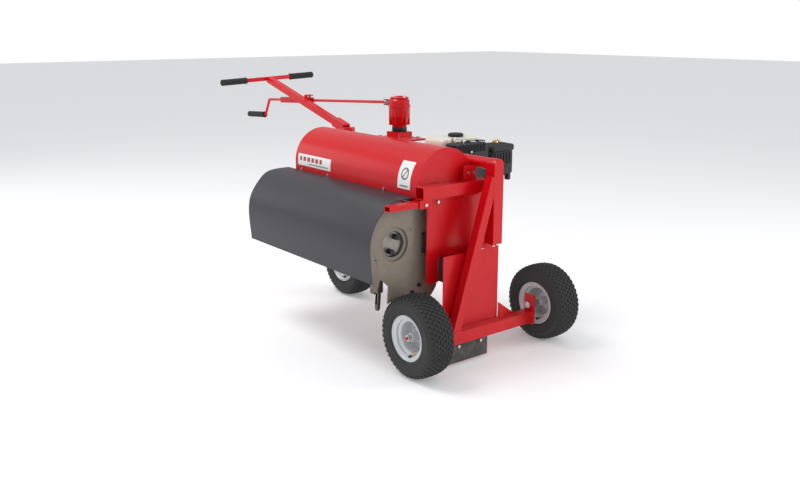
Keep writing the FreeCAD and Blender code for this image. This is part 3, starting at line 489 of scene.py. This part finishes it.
    @classmethod
    def repeat(cls, piece: bpy.types.Object, count: int, centre: Vector, axis: Axis) -> bpy.types.Object:
        """The same piece repeated at even steps round an axis, as one mesh."""
        cls.pick(piece)
        bpy.ops.object.mode_set(mode="EDIT")
        bpy.ops.mesh.select_all(action="SELECT")
        bpy.ops.mesh.spin(steps=count, dupli=True, angle=FULL_TURN, center=tuple(centre), axis=axis.value)
        bpy.ops.mesh.select_all(action="SELECT")
        bpy.ops.mesh.remove_doubles(threshold=SAME_POINT)
        bpy.ops.object.mode_set(mode="OBJECT")
        return piece

    @classmethod
    def path(cls, name: str, points: Sequence[Vector], radius: float, sides: int = 12) -> bpy.types.Object:
        """Wire through points: one round bar for each span, a little longer at both ends, joined into one piece."""
        parts = []
        for index, (start, end) in enumerate(zip(points, points[1:])):
            run = (end - start).normalized() * radius * 0.35
            parts.append(cls.bar(f"{name}_{index}", start - run, end + run, radius, 0.0, sides))
        return cls.join(name, parts)

    @staticmethod
    def mount(piece: bpy.types.Object, body: str, finish: "Finish", *nodes: str) -> bpy.types.Object:
        """Dress a piece and let it ride on a body.

        Args:
            piece: The finished piece.
            body: Body it moves with.
            finish: Its surface.
            nodes: CAD nodes it stands for.

        Returns:
            The same piece.
        """
        finish.dress(piece)
        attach(piece, body)
        if nodes:
            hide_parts(*nodes)
        LOG.info("%s rides on %s", piece.name, body)
        return piece


# ----- CAD nodes
@dataclass
class FrameDress:
    """Finishes for the pieces that keep their CAD shape, and soft edges for the flat-sided ones."""

    edge: float = 0.0010
    special: dict[str, Finish] = field(default_factory=lambda: {
        "ground_flap": DARK_FLAP, "muffler": MUFFLER, "bearing_flanges": CUP, "main_crankshaft": HUB,
        "near_tine_arms": TINE, "hub_studs": BLACK})
    edged: tuple[str, ...] = (
        "lower_rail", "frame_diagonal", "frame_post", "top_tubes", "upper_panel", "lower_panel", "shelf_bar", "tongue",
        "steering_fork", "near_side_plate", "far_side_plate", "ground_flap", "engine_deck", "jack_bracket",
        "spine_beam", "rod_guide", "muffler", "guide_shoes", "near_tine_arms", "bank_tine_arms")

    def build(self) -> None:
        """Dress every CAD node."""
        slots = {entry["node"]: entry["material_slot"] for entry in frame["record"]["subparts"]}
        for name, piece in frame["nodes"].items():
            self.special.get(name, SLOT_FINISH[slots[name]]).dress(piece)
            if name not in self.edged:
                continue
            weld = piece.modifiers.new("weld", "WELD")
            weld.merge_threshold = SAME_POINT
            bevel = piece.modifiers.new("edge", "BEVEL")
            bevel.width = self.edge
            bevel.segments = 2
            bevel.limit_method = "ANGLE"
            bevel.angle_limit = math.radians(50)
            bevel.use_clamp_overlap = False
            bevel.harden_normals = True
        LOG.info("%d CAD nodes dressed", len(frame["nodes"]))


# ----- wheels
@dataclass
class TurfWheels(Bench):
    """Three equal wheels: block-tread tyre, pressed rim with its hub, and valve."""

    block_height: float = 0.0058
    per_row: int = 46
    rows: tuple[tuple[float, float, float], ...] = (
        (0.1650, 0.0, 0.0), (0.1647, 0.0138, 2.0), (0.1638, 0.0272, 8.0), (0.1615, 0.0402, 20.0),
        (0.1568, 0.0508, 42.0))
    lug_size: tuple[float, float] = (0.0126, 0.0092)
    shoulder_width: float = 0.0125
    centres: dict[str, Vector] = field(default_factory=lambda: {
        "near": at(0, 0, 165), "far": at(0, 711, 165), "front": at(-1048, 417, 165)})

    def carcass(self, centre: Vector) -> bpy.types.Object:
        """Sidewalls with raised bands, and the tread's base."""
        half = [(0.0770, 0.0370), (0.0770, 0.0460), (0.0915, 0.0462), (0.0922, 0.0520), (0.0955, 0.0565),
                (0.1010, 0.0592), (0.1022, 0.0606), (0.1048, 0.0608), (0.1062, 0.0600), (0.1180, 0.0622),
                (0.1300, 0.0626), (0.1330, 0.0636), (0.1358, 0.0632), (0.1372, 0.0615), (0.1450, 0.0585),
                (0.1518, 0.0530), (0.1555, 0.0465), (0.1582, 0.0370), (0.1595, 0.0200), (0.1600, 0.0)]
        inner = [(0.0865, 0.0350), (0.1050, 0.0530), (0.1280, 0.0560), (0.1420, 0.0500), (0.1510, 0.0400),
                 (0.1545, 0.0)]
        outer = half + [(r, -h) for r, h in reversed(half[:-1])]
        lining = inner + [(r, -h) for r, h in reversed(inner[:-1])]
        return self.lathe("carcass", outer + list(reversed(lining)), centre, Axis.Y, 96)

    def tread(self, centre: Vector) -> bpy.types.Object:
        """Staggered rows of blocks that lean over at the shoulders."""
        made = []
        long_side, wide_side = self.lug_size
        for row, (reach, across, lean) in enumerate(self.rows):
            for side in (-1, 1) if across else (1,):
                width = wide_side if row < len(self.rows) - 1 else self.shoulder_width
                span = Vector((long_side, width, self.block_height)) / 2
                place = centre + Vector((0.0, side * across, reach - self.block_height / 2))
                lug = self.block(f"lug_{row}_{side}", place - span, place + span, 0.0011, 1)
                self.pick(lug)
                bpy.ops.object.mode_set(mode="EDIT")
                bpy.ops.mesh.select_all(action="SELECT")
                bpy.ops.transform.rotate(value=math.radians(lean) * side, orient_axis="X", center_override=tuple(place))
                turn = math.pi / self.per_row * (row % 2)
                bpy.ops.transform.rotate(value=turn, orient_axis="Y", center_override=tuple(centre))
                bpy.ops.object.mode_set(mode="OBJECT")
                made.append(self.repeat(lug, self.per_row, centre, Axis.Y))
        return self.join("tread", made)

    def rim(self, centre: Vector) -> bpy.types.Object:
        """Rolled flanges, seats, drop centre, dished disc and hub."""
        flange = [(0.0925, 0.0528), (0.0922, 0.0548), (0.0902, 0.0560), (0.0882, 0.0552), (0.0868, 0.0524),
                  (0.0850, 0.0502), (0.0775, 0.0482), (0.0745, 0.0468), (0.0733, 0.0440), (0.0733, 0.0385),
                  (0.0700, 0.0360), (0.0640, 0.0335), (0.0617, 0.0300), (0.0612, 0.0250)]
        seat = [(0.0640, 0.0290), (0.0668, 0.0320), (0.0745, 0.0355), (0.0762, 0.0375), (0.0762, 0.0460),
                (0.0840, 0.0478), (0.0890, 0.0502), (0.0910, 0.0520)]
        inside = flange + [(r, -h) for r, h in reversed(flange)]
        outside = [(r, -h) for r, h in reversed(seat)] + seat
        barrel = self.lathe("barrel", inside + outside, centre, Axis.Y, 96)
        face = [(0.0615, 0.0180), (0.0598, 0.0212), (0.0560, 0.0228), (0.0520, 0.0226), (0.0470, 0.0208),
                (0.0400, 0.0150),
                (0.0360, 0.0132), (0.0250, 0.0128), (0.0190, 0.0122), (0.0178, 0.0100), (0.0174, -0.0350),
                (0.0164, -0.0362), (0.0108, -0.0362), (0.0098, -0.0350), (0.0098, 0.0350), (0.0108, 0.0362),
                (0.0164, 0.0362), (0.0174, 0.0350), (0.0178, 0.0168), (0.0250, 0.0156), (0.0365, 0.0160),
                (0.0410, 0.0182), (0.0480, 0.0240), (0.0540, 0.0256), (0.0600, 0.0240), (0.0622, 0.0200)]
        disc = self.lathe("disc", face, centre, Axis.Y, 96)
        return self.join("rim", [barrel, disc])

    def valve(self, centre: Vector) -> tuple[bpy.types.Object, bpy.types.Object]:
        """Valve stem: a brass neck with a black cap."""
        tip = centre + Vector((0.0115, -0.0505, -0.0715))
        root = centre + Vector((0.0360, -0.0340, -0.0520))
        run = (tip - root).normalized()
        neck = self.bar("valve_neck", root, tip - run * 0.010, 0.0031, 0.0004, 20)
        cap = self.bar("valve_cap", tip - run * 0.013, tip + run * 0.002, 0.0046, 0.0008, 16)
        return neck, cap

    def build(self) -> None:
        """Model one wheel and copy it to the other two places."""
        home = self.centres["near"]
        carcass = self.join("tyre", [self.carcass(home), self.tread(home)])
        rim = self.rim(home)
        neck, cap = self.valve(home)
        for name, centre in self.centres.items():
            move = Matrix.Translation(centre - home)
            body = f"{name}_wheel"
            self.mount(self.copy(carcass, f"{name}_turf_tyre", move), body, TURF, f"{name}_tyre")
            self.mount(self.copy(rim, f"{name}_pressed_rim", move), body, SILVER, f"{name}_rim")
            self.mount(self.copy(neck, f"{name}_valve_neck", move), body, BRASS)
            self.mount(self.copy(cap, f"{name}_valve_cap", move), body, PLASTIC)
        for spare in (carcass, rim, neck, cap):
            bpy.data.objects.remove(spare)


# ----- handles and jack
@dataclass
class Handles(Bench):
    """Ribbed grips of the tow bar and the crank."""

    bar_centre: Vector = field(default_factory=lambda: at(-1826, 417, 1050))
    bar_tilt: float = math.radians(2.5)
    rod_drop: float = math.radians(3.1)
    reach: tuple[float, float] = (0.137, 0.289)
    radius: float = 0.0168

    def ribbed(self, name: str, start: float, end: float, radius: float, centre: Vector,
               axis: Axis) -> bpy.types.Object:
        """Sleeve with shallow rings and a rounded end."""
        profile = [(0.0105, start), (radius - 0.0030, start), (radius + 0.0012, start + 0.0015),
                   (radius + 0.0012, start + 0.0050), (radius - 0.0012, start + 0.0068)]
        ribs = 15
        step = (end - start - 0.020) / ribs
        for index in range(ribs):
            foot = start + 0.008 + step * index
            profile += [(radius - 0.0012, foot), (radius, foot + step * 0.25), (radius, foot + step * 0.7),
                        (radius - 0.0012, foot + step * 0.95)]
        profile += [(radius, end - 0.0100), (radius, end - 0.0040), (radius - 0.0040, end - 0.0004), (0.0, end)]
        return self.lathe(name, profile, centre, axis, 40, closed=False)

    def build(self) -> None:
        """Two grips on the tow bar, one on the crank's peg."""
        centre = self.bar_centre
        grip = self.ribbed("grip", *self.reach, self.radius, centre, Axis.Y)
        home, back = Matrix.Translation(centre), Matrix.Translation(-centre)
        tilt = Matrix.Rotation(self.bar_tilt, 4, "X")
        turned = Matrix.Rotation(math.pi, 4, "Z")
        pair = [self.copy(grip, "far_grip", home @ tilt @ back),
                self.copy(grip, "near_grip", home @ tilt @ turned @ back)]
        bpy.data.objects.remove(grip)
        self.mount(self.join("ribbed_tow_grips", pair), "steering", GRIP, "tow_grips")
        run = Vector((-math.cos(self.rod_drop), 0.0, -math.sin(self.rod_drop)))
        tip = at(-800, 457, 988) + run * 1.092 + Vector((0.0, -0.028, -0.084))
        sleeve = self.ribbed("sleeve", 0.009, 0.191, 0.0158, tip, Axis.X)
        aim = Matrix.Translation(tip) @ Matrix.Rotation(-self.rod_drop, 4, "Y") @ Matrix.Rotation(math.pi, 4, "Z")
        self.mount(self.copy(sleeve, "ribbed_crank_grip", aim @ Matrix.Translation(-tip)), "grip", GRIP, "crank_grip")
        bpy.data.objects.remove(sleeve)


@dataclass
class JackTrim(Bench):
    """Lid, band, boss, ribs, collar and lid bolts on the jack's gear head."""

    axis: Vector = field(default_factory=lambda: at(-695, 457, 0))

    def build(self) -> None:
        """Add the trim to the fixed housing."""
        dome = [(0.0, 1.0125), (0.0415, 1.0125), (0.0425, 1.0135), (0.0425, 1.0170), (0.0410, 1.0185),
                (0.0180, 1.0200), (0.0165, 1.0235), (0.0, 1.0245)]
        lid = self.lathe("lid", dome, self.axis, Axis.Z, 64, closed=False)
        band = self.lathe("band", [(0.0465, 0.9720), (0.0500, 0.9735), (0.0500, 0.9840), (0.0465, 0.9855)], self.axis,
                          Axis.Z, 64)
        boss = self.lathe("boss", [(0.0185, -0.062), (0.0225, -0.060), (0.0225, -0.050), (0.0185, -0.048)],
                          self.axis + Vector((0.0, 0.0, 0.988)), Axis.X, 48)
        rib = self.block("rib", self.axis + Vector((0.030, -0.0025, 0.890)),
                         self.axis + Vector((0.0485, 0.0025, 0.972)), 0.001)
        ribs = self.repeat(rib, 6, self.axis, Axis.Z)
        self.mount(self.join("jack_head_trim", [lid, band, boss, ribs]), "carriage", RED)
        collar = self.lathe("collar", [(0.0290, 0.8605), (0.0335, 0.8605), (0.0345, 0.8640), (0.0345, 0.8790),
                                       (0.0335, 0.8830), (0.0290, 0.8830)], self.axis, Axis.Z, 64)
        self.mount(self.join("jack_collar", [collar]), "carriage", BLACK)
        bolt = self.bar("lid_bolt", self.axis + Vector((0.0325, 0.0, 1.0180)),
                        self.axis + Vector((0.0325, 0.0, 1.0225)),
                        0.0052, 0.0006, 6)
        self.mount(self.join("jack_lid_bolts", [self.repeat(bolt, 4, self.axis, Axis.Z)]), "carriage", ZINC)


# ----- hood, plate and frame trim
@dataclass
class HoodTrim(Bench):
    """Two thin labels that follow the hood, each with a flat foot below its turned part."""

    centre: Vector = field(default_factory=lambda: at(0, 229, 722))
    radius: float = 0.1474
    foot_drop: float = 0.014
    labels: tuple[tuple[str, float, float, float, float, bool], ...] = (
        ("hood_name_label", -982.0, -712.0, 0.5, 15.0, False), ("hood_sign_label", -230.0, -150.0, 0.5, 39.0, True))

    def build(self) -> None:
        """Make the labels."""
        for name, x0, x1, low, high, ring in self.labels:
            start = math.radians(90.0 - low)
            piece = self.lathe(name, [(self.radius, x0 / 1000), (self.radius, x1 / 1000)], self.centre, Axis.X, 14,
                               closed=False, start=start, turn=math.radians(high - low))
            foot = self.block("foot", self.centre + Vector((x0 / 1000, -self.radius - 0.0001, -self.foot_drop)),
                              self.centre + Vector((x1 / 1000, -self.radius + 0.0003, 0.001 + low / 400)))
            piece = self.join(name, [piece, foot])
            bottom = self.centre.z - self.foot_drop
            top = self.centre.z + self.radius * math.sin(math.radians(high))
            print_colour = (0.05, 0.05, 0.06) if ring else (0.42, 0.02, 0.03)
            finish = LabelFinish(name, "red_paint", (0.84, 0.83, 0.82), print_colour, 0.30, ring=ring,
                                 low=(self.centre.x + x0 / 1000, 0.0, bottom),
                                 high=(self.centre.x + x1 / 1000, 0.0, top))
            self.mount(piece, "unit", finish)


@dataclass
class FrameTrim(Bench):
    """Weld beads, the strap at the post's foot, the plate's coil spring with its pegs, and the axle caps."""

    beads: tuple[tuple[Point, Point, str], ...] = (
        ((-25, 372, 770), (-25, 423, 770), "carriage"), ((25.6, 200, 141), (25.6, 165, 141), "carriage"),
        ((26, 90.0, 139), (26, 90.0, 92), "carriage"), ((26, 621.0, 139), (26, 621.0, 92), "carriage"),
        ((-14, 168, 140.5), (24, 168, 140.5), "carriage"), ((25, 190, 140.8), (-13, 190, 140.8), "carriage"),
        ((-50.5, 113, 683), (-50.5, 66, 683), "unit"), ((-58, 112.4, 655), (-58, 112.4, 677), "unit"),
        ((-90, 180.4, 430), (-90, 180.4, 330), "unit"))
    spring_radius: float = 0.0090
    spring_wire: float = 0.0017
    spring_pitch: float = 0.0078
    spring_turns: int = 9

    def build(self) -> None:
        """Add the trim piece by piece."""
        groups: dict[str, list[bpy.types.Object]] = {}
        for index, (start, end, body) in enumerate(self.beads):
            groups.setdefault(body, []).append(self.bar(f"bead_{index}", at(*start), at(*end), 0.0021, 0.0012, 12))
        for body, made in groups.items():
            self.mount(self.join(f"weld_beads_{body}", made), body, RED)
        strap = self.block("strap", at(-25, 350, 452), at(-21, 423, 475), 0.0008, 2)
        self.mount(self.join("post_foot_strap", [strap]), "carriage", RED)
        self.clear()
        foot = at(-113, 127, 458)
        bpy.ops.mesh.primitive_circle_add(vertices=10, radius=self.spring_wire,
                                          location=foot + Vector((self.spring_radius, 0.0, 0.0)),
                                          rotation=(math.radians(90), 0.0, 0.0))
        coil = self.settle("plate_spring")
        bpy.context.scene.cursor.location = foot
        bpy.ops.object.origin_set(type="ORIGIN_CURSOR")
        screw = coil.modifiers.new("coil", "SCREW")
        screw.angle = math.radians(360)
        screw.screw_offset = self.spring_pitch
        screw.iterations = self.spring_turns
        screw.steps = 24
        bpy.ops.object.modifier_apply(modifier=screw.name)
        bpy.ops.object.mode_set(mode="EDIT")
        bpy.ops.mesh.select_all(action="SELECT")
        bpy.ops.mesh.normals_make_consistent(inside=False)
        bpy.ops.object.mode_set(mode="OBJECT")
        coil = self.settle("plate_spring")
        bpy.ops.object.shade_smooth()
        self.mount(coil, "unit", BLACK)
        pegs = [self.bar(f"peg_{z}", at(-128, 127, z), at(-104, 127, z), 0.0045, 0.0008, 20) for z in (456, 531)]
        self.mount(self.join("spring_pegs", pegs), "unit", BLACK)
        caps = []
        for centre, side in ((at(0, -52, 165), -1), (at(0, 763, 165), 1)):
            profile = [(0.0060, 0.0), (0.0060, side * 0.0035), (0.0048, side * 0.0050), (0.0, side * 0.0058)]
            caps.append(self.lathe("axle_cap", profile, centre, Axis.Y, 32, closed=False))
        self.mount(self.join("axle_caps", caps), "carriage", RED)


# ----- engine
@dataclass
class Engine(Bench):
    """Tank with seam and ribbed cap, starter cover with its grille, finned cylinder and air cleaner."""

    def tank(self) -> None:
        """Rounded tank with a seam flange and neck ring, and its ribbed cap."""
        shell = self.block("shell", at(-500, 440, 781), at(-362, 650, 857), 0.0190, 5)
        seam = self.block("seam", at(-503, 437, 803), at(-359, 645, 807), 0.0016, 2)
        neck = self.lathe("neck", [(0.0215, 0.0), (0.0300, 0.0), (0.0290, 0.0060), (0.0240, 0.0080), (0.0215, 0.0080)],
                          at(-410, 552, 850), Axis.Z, 48)
        self.mount(self.join("seamed_tank", [shell, seam, neck]), "unit", TANK, "fuel_tank")
        cap = self.lathe("cap_top", [(0.0200, 0.0), (0.0320, 0.0), (0.0325, 0.0020), (0.0325, 0.0120), (0.0300, 0.0140),
                                     (0.0, 0.0145)], at(-410, 552, 858), Axis.Z, 64, closed=False)
        rib = self.block("cap_rib", at(-378.4, 549.8, 860), at(-376.0, 554.2, 870), 0.0006, 1)
        self.mount(self.join("ribbed_cap", [cap, self.repeat(rib, 22, at(-410, 552, 860), Axis.Z)]), "cap", PLASTIC,
                   "fuel_cap")

    def starter(self) -> None:
        """Blower cover details: grille, screws, control levers, pull rope and the boxes on its edge."""
        centre = at(-292, 538, 715)
        ring = self.lathe("ring", [(0.0700, 0.0220), (0.0740, 0.0200), (0.0760, 0.0230), (0.0720, 0.0260)], centre,
                          Axis.X, 64)
        hub = self.lathe("hub", [(0.0300, 0.0275), (0.0300, 0.0320), (0.0270, 0.0345), (0.0, 0.0350)], centre, Axis.X,
                         48, closed=False)
        fin = self.block("fin", centre + Vector((0.0240, -0.0022, 0.0340)), centre + Vector((0.0285, 0.0022, 0.0680)),
                         0.0008, 1)
        self.mount(self.join("starter_grille", [ring, hub, self.repeat(fin, 20, centre, Axis.X)]), "unit", BLACK)
        screw = self.bar("screw", centre + Vector((-0.001, 0.0, 0.0860)), centre + Vector((0.0045, 0.0, 0.0860)),
                         0.0052, 0.0006, 6)
        levers = [self.block("lever_a", at(-352, 470, 838), at(-330, 476, 866), 0.0012),
                  self.block("lever_b", at(-322, 500, 838), at(-302, 505, 858), 0.0012),
                  self.bar("link_a", at(-344, 473, 858), at(-310, 640, 846), 0.0018, 0.0, 12),
                  self.bar("link_b", at(-325, 478, 848), at(-325, 660, 836), 0.0015, 0.0, 12)]
        self.mount(self.join("cover_screws", [self.repeat(screw, 6, centre, Axis.X)] + levers), "unit", ZINC)
        exit_point, grip_point = at(-268, 538, 767), at(-256, 538, 767)
        rope = self.join("pull_rope", [self.bar("rope", exit_point, grip_point, 0.0016, 0.0, 16)])
        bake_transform(GRIP.dress(rope))
        boxes = [self.block("coil_box", at(-356, 446, 826), at(-300, 498, 838), 0.0030, 3),
                 self.block("switch_box", at(-338, 520, 828), at(-296, 566, 842), 0.0040, 3),
                 self.bar("knob", at(-317, 543, 841), at(-317, 543, 850), 0.0100, 0.0020, 32),
                 self.block("louvre", at(-356, 590, 828), at(-300, 634, 837), 0.0030, 3)]
        boxes += [self.block(f"ridge_{index}", at(-291.5, 448 + index * 9, 800), at(-289, 452 + index * 9, 834),
                             0.0006, 1) for index in range(20)]
        self.mount(self.join("cover_boxes", boxes), "unit", PLASTIC)

    def cylinder(self) -> None:
        """Cooling fins, crankcase bosses, head bolts, plug lead and oil plug."""
        fins = [self.block(f"fin_{index}", at(-553, 622 + index * 9, 684),
                           at(-392, 625 + index * 9, 785 - 6 * (index > 5)),
                           0.0010, 1) for index in range(7)]
        bosses = [self.bar(f"boss_{y}_{z}", at(-562, y, z), at(-556, y, z), 0.0110, 0.0012, 32)
                  for y, z in ((478, 640), (598, 640), (478, 760), (598, 760), (538, 622))]
        self.mount(self.join("cooling_fins", fins + bosses), "unit", ALLOY)
        heads = [self.bar(f"head_{x}_{z}", at(x, 688, z), at(x, 695, z), 0.0065, 0.0008, 6)
                 for x in (-535, -410) for z in (702, 768)]
        self.mount(self.join("head_bolts", heads), "unit", ZINC)
        lead = self.path("plug_lead", [at(-470, 700, 735), at(-440, 722, 745), at(-400, 716, 770), at(-372, 690, 800),
                                       at(-362, 650, 812)], 0.0036, 16)
        boot = self.bar("plug_boot", at(-470, 688, 735), at(-470, 712, 735), 0.0100, 0.0020, 32)
        filler = self.bar("oil_plug", at(-372, 632, 640), at(-372, 648, 646), 0.0130, 0.0020, 24)
        self.mount(self.join("plug_lead", [lead, boot, filler]), "unit", PLASTIC)

    def cleaner(self) -> None:
        """Air cleaner with a lipped lid, intake snout, ribs, elbow and brass wing nut."""
        box = self.block("box", at(-398, 680, 678), at(-302, 810, 788), 0.0120, 4)
        lid = self.block("lid", at(-402, 676, 784), at(-298, 814, 816), 0.0110, 4)
        crown = self.block("crown", at(-378, 700, 808), at(-322, 790, 820), 0.0045, 3)
        snout = self.block("snout", at(-300, 700, 688), at(-284, 760, 718), 0.0030, 3)
        ribs = [self.block(f"rib_{index}", at(-301, 692 + index * 18, 728), at(-297, 698 + index * 18, 780), 0.0010, 2)
                for index in range(6)]
        elbow = self.path("elbow", [at(-360, 716, 640), at(-360, 716, 680), at(-360, 725, 700)], 0.0215, 32)
        base = self.block("base", at(-392, 690, 672), at(-312, 780, 694), 0.0040, 2)
        tail = self.block("tail", at(-330, 782, 650), at(-306, 800, 692), 0.0030, 2)
        self.mount(self.join("lidded_cleaner", [box, lid, crown, snout, elbow, base, tail] + ribs), "unit", PLASTIC,
                   "air_cleaner")
        stem = self.bar("stem", at(-350, 745, 818), at(-350, 745, 834), 0.0040, 0.0005, 24)
        nut = self.lathe("nut", [(0.0040, 0.0), (0.0095, 0.0), (0.0080, 0.0070), (0.0040, 0.0090)], at(-350, 745, 821),
                         Axis.Z, 32)
        wings = [self.block(f"wing_{side}", at(-352, 745 + side * 14 - 7, 823), at(-348, 745 + side * 14 + 7, 837),
                            0.0016, 3)
                 for side in (-1, 1)]
        self.mount(self.join("wing_nut", [stem, nut] + wings), "unit", BRASS)

    def build(self) -> None:
        """Build the engine's groups."""
        self.tank()
        self.starter()
        self.cylinder()
        self.cleaner()


# ----- drive
@dataclass
class RollerChain(Bench):
    """Roller chain round the countershaft's small sprocket and the timing shaft's large one, with both tooth rings."""

    large: tuple[Point, float] = ((-1030, 142, 506), 0.0754)
    small: tuple[Point, float] = ((-1030, 250, 650), 0.0234)
    links: int = 54
    plate_offset: float = 0.0036

    @staticmethod
    def ray(angle: float, length: float) -> Vector:
        """Vector of a given length across the shafts, at an angle from Y."""
        return Vector((0.0, math.cos(angle), math.sin(angle))) * length

    def track(self) -> list[tuple[Vector, float]]:
        """Evenly spaced places on the loop, each with its heading about X."""
        a, b = at(*self.large[0]), at(*self.small[0])
        big, little = self.large[1], self.small[1]
        run = b - a
        reach = run.length
        heading = math.atan2(run.z, run.y)
        lean = math.asin((big - little) / reach)
        straight = math.sqrt(reach ** 2 - (big - little) ** 2)
        arc_big, arc_little = math.pi + 2 * lean, math.pi - 2 * lean
        total = 2 * straight + arc_big * big + arc_little * little
        places = []
        for index in range(self.links):
            gone = total * index / self.links
            if gone < straight:
                side = heading + math.pi / 2 - lean
                foot = a + self.ray(side, big)
                turn = heading - lean
                places.append((foot + self.ray(turn, gone), turn))
                continue
            gone -= straight
            if gone < arc_little * little:
                side = heading + math.pi / 2 - lean - gone / little
                places.append((b + self.ray(side, little), side - math.pi / 2))
                continue
            gone -= arc_little * little
            if gone < straight:
                side = heading - math.pi / 2 + lean
                foot = b + self.ray(side, little)
                turn = heading + math.pi + lean
                places.append((foot + self.ray(turn, gone), turn))
                continue
            gone -= straight
            side = heading - math.pi / 2 + lean - gone / big
            places.append((a + self.ray(side, big), side - math.pi / 2))
        return places

    def teeth(self, name: str, centre: Vector, radius: float, count: int, body: str) -> None:
        """Ring of sprocket teeth on one shaft."""
        tooth = self.block("tooth", centre + Vector((-0.0018, -0.0026, radius - 0.0030)),
                           centre + Vector((0.0018, 0.0026, radius + 0.0050)), 0.0014, 2)
        self.mount(self.join(name, [self.repeat(tooth, count, centre, Axis.X)]), body, STEEL)

    def build(self) -> None:
        """Copy one link round the loop."""
        plates = [self.block(f"plate_{side}", Vector((side * self.plate_offset - 0.0008, -0.0082, -0.0036)),
                             Vector((side * self.plate_offset + 0.0008, 0.0082, 0.0036)), 0.0007, 1)
                  for side in (-1, 1)]
        roller = self.bar("roller", Vector((-0.0042, 0.0, 0.0)), Vector((0.0042, 0.0, 0.0)), 0.0032, 0.0, 16)
        link = self.join("link", plates + [roller])
        made = [self.copy(link, f"link_{index}", Matrix.Translation(place) @ Matrix.Rotation(turn, 4, "X"))
                for index, (place, turn) in enumerate(self.track())]
        bpy.data.objects.remove(link)
        self.mount(self.join("roller_chain", made), "unit", STEEL, "drive_chain")
        self.teeth("large_teeth", at(*self.large[0]), 0.072, 36, "timing_crank")
        self.teeth("small_teeth", at(*self.small[0]), 0.020, 11, "counter")


# Name, place, point faced, width and power of each soft lamp.
LAMPS: tuple[tuple[str, Point, Point, float, float], ...] = (
    ("key", (4.2, 3.4, 2.0), (0.2, 0.0, 0.5), 2.0, 78.0), ("front", (3.4, -4.2, 2.6), (0.0, 0.0, 0.4), 3.4, 22.0),
    ("top", (-1.0, -1.6, 4.4), (0.0, 0.0, 0.6), 2.2, 95.0), ("left", (-4.5, -2.5, 2.0), (0.0, 0.0, 0.5), 2.6, 20.0))
CAMERA_PLACE = (3.4009, -2.3424, 1.3408)
CAMERA_DROP, CAMERA_HEADING = 13.0847, 51.8264
SKY_LIGHT, SKY_SEEN = 0.62, 1.06


def build_studio() -> None:
    """Pale floor, soft lights, world and camera."""
    Bench.clear()
    bpy.ops.mesh.primitive_plane_add(size=60.0, location=(0.0, 0.0, -0.0005))
    floor = bpy.context.object
    floor.name = "floor"
    ground = Graph("pale_floor")
    tone = 0.90 + ground.noise(0.6) * 0.02
    ground.plug(Base_Color=ground.node("ShaderNodeCombineColor", {}, {0: tone, 1: tone, 2: tone}), Roughness=0.75,
                Emission_Color=(1.0, 1.0, 1.0, 1.0), Emission_Strength=0.16)
    floor.data.materials.append(ground.material)
    for name, place, aim, size, power in LAMPS:
        bpy.ops.object.light_add(type="AREA", location=place)
        lamp = bpy.context.object
        lamp.name = f"lamp_{name}"
        lamp.data.shape = "DISK"
        lamp.data.size = size
        lamp.data.energy = power
        lamp.rotation_euler = (Vector(aim) - Vector(place)).to_track_quat("-Z", "Y").to_euler()
    world = bpy.data.worlds.new("soft_sky")
    world.use_nodes = True
    world.node_tree.nodes["Background"].inputs["Color"].default_value = (0.95, 0.96, 1.0, 1.0)
    rays = world.node_tree.nodes.new("ShaderNodeLightPath")
    strength = world.node_tree.nodes.new("ShaderNodeMix")
    strength.inputs["A"].default_value = SKY_LIGHT
    strength.inputs["B"].default_value = SKY_SEEN
    world.node_tree.links.new(rays.outputs["Is Camera Ray"], strength.inputs["Factor"])
    world.node_tree.links.new(strength.outputs["Result"], world.node_tree.nodes["Background"].inputs["Strength"])
    bpy.context.scene.world = world
    bpy.ops.object.camera_add(location=CAMERA_PLACE,
                              rotation=(math.radians(90 - CAMERA_DROP), 0.0, math.radians(CAMERA_HEADING)))
    camera = bpy.context.object
    camera.name = "camera"
    camera.data.lens = 38.727
    camera.data.sensor_width = 36.0
    camera.data.shift_y = -0.03125
    camera.data.dof.use_dof = False
    bpy.context.scene.camera = camera
    bpy.context.scene.view_settings.view_transform = "Standard"


def main() -> None:
    """Build the sub-assemblies in order."""
    logging.basicConfig(level=logging.INFO, format="%(message)s")
    for assembly in (FrameDress(), TurfWheels(), Handles(), JackTrim(), HoodTrim(), FrameTrim(), Engine(),
                     RollerChain()):
        assembly.build()
    build_studio()


if __name__ == "__main__":
    main()
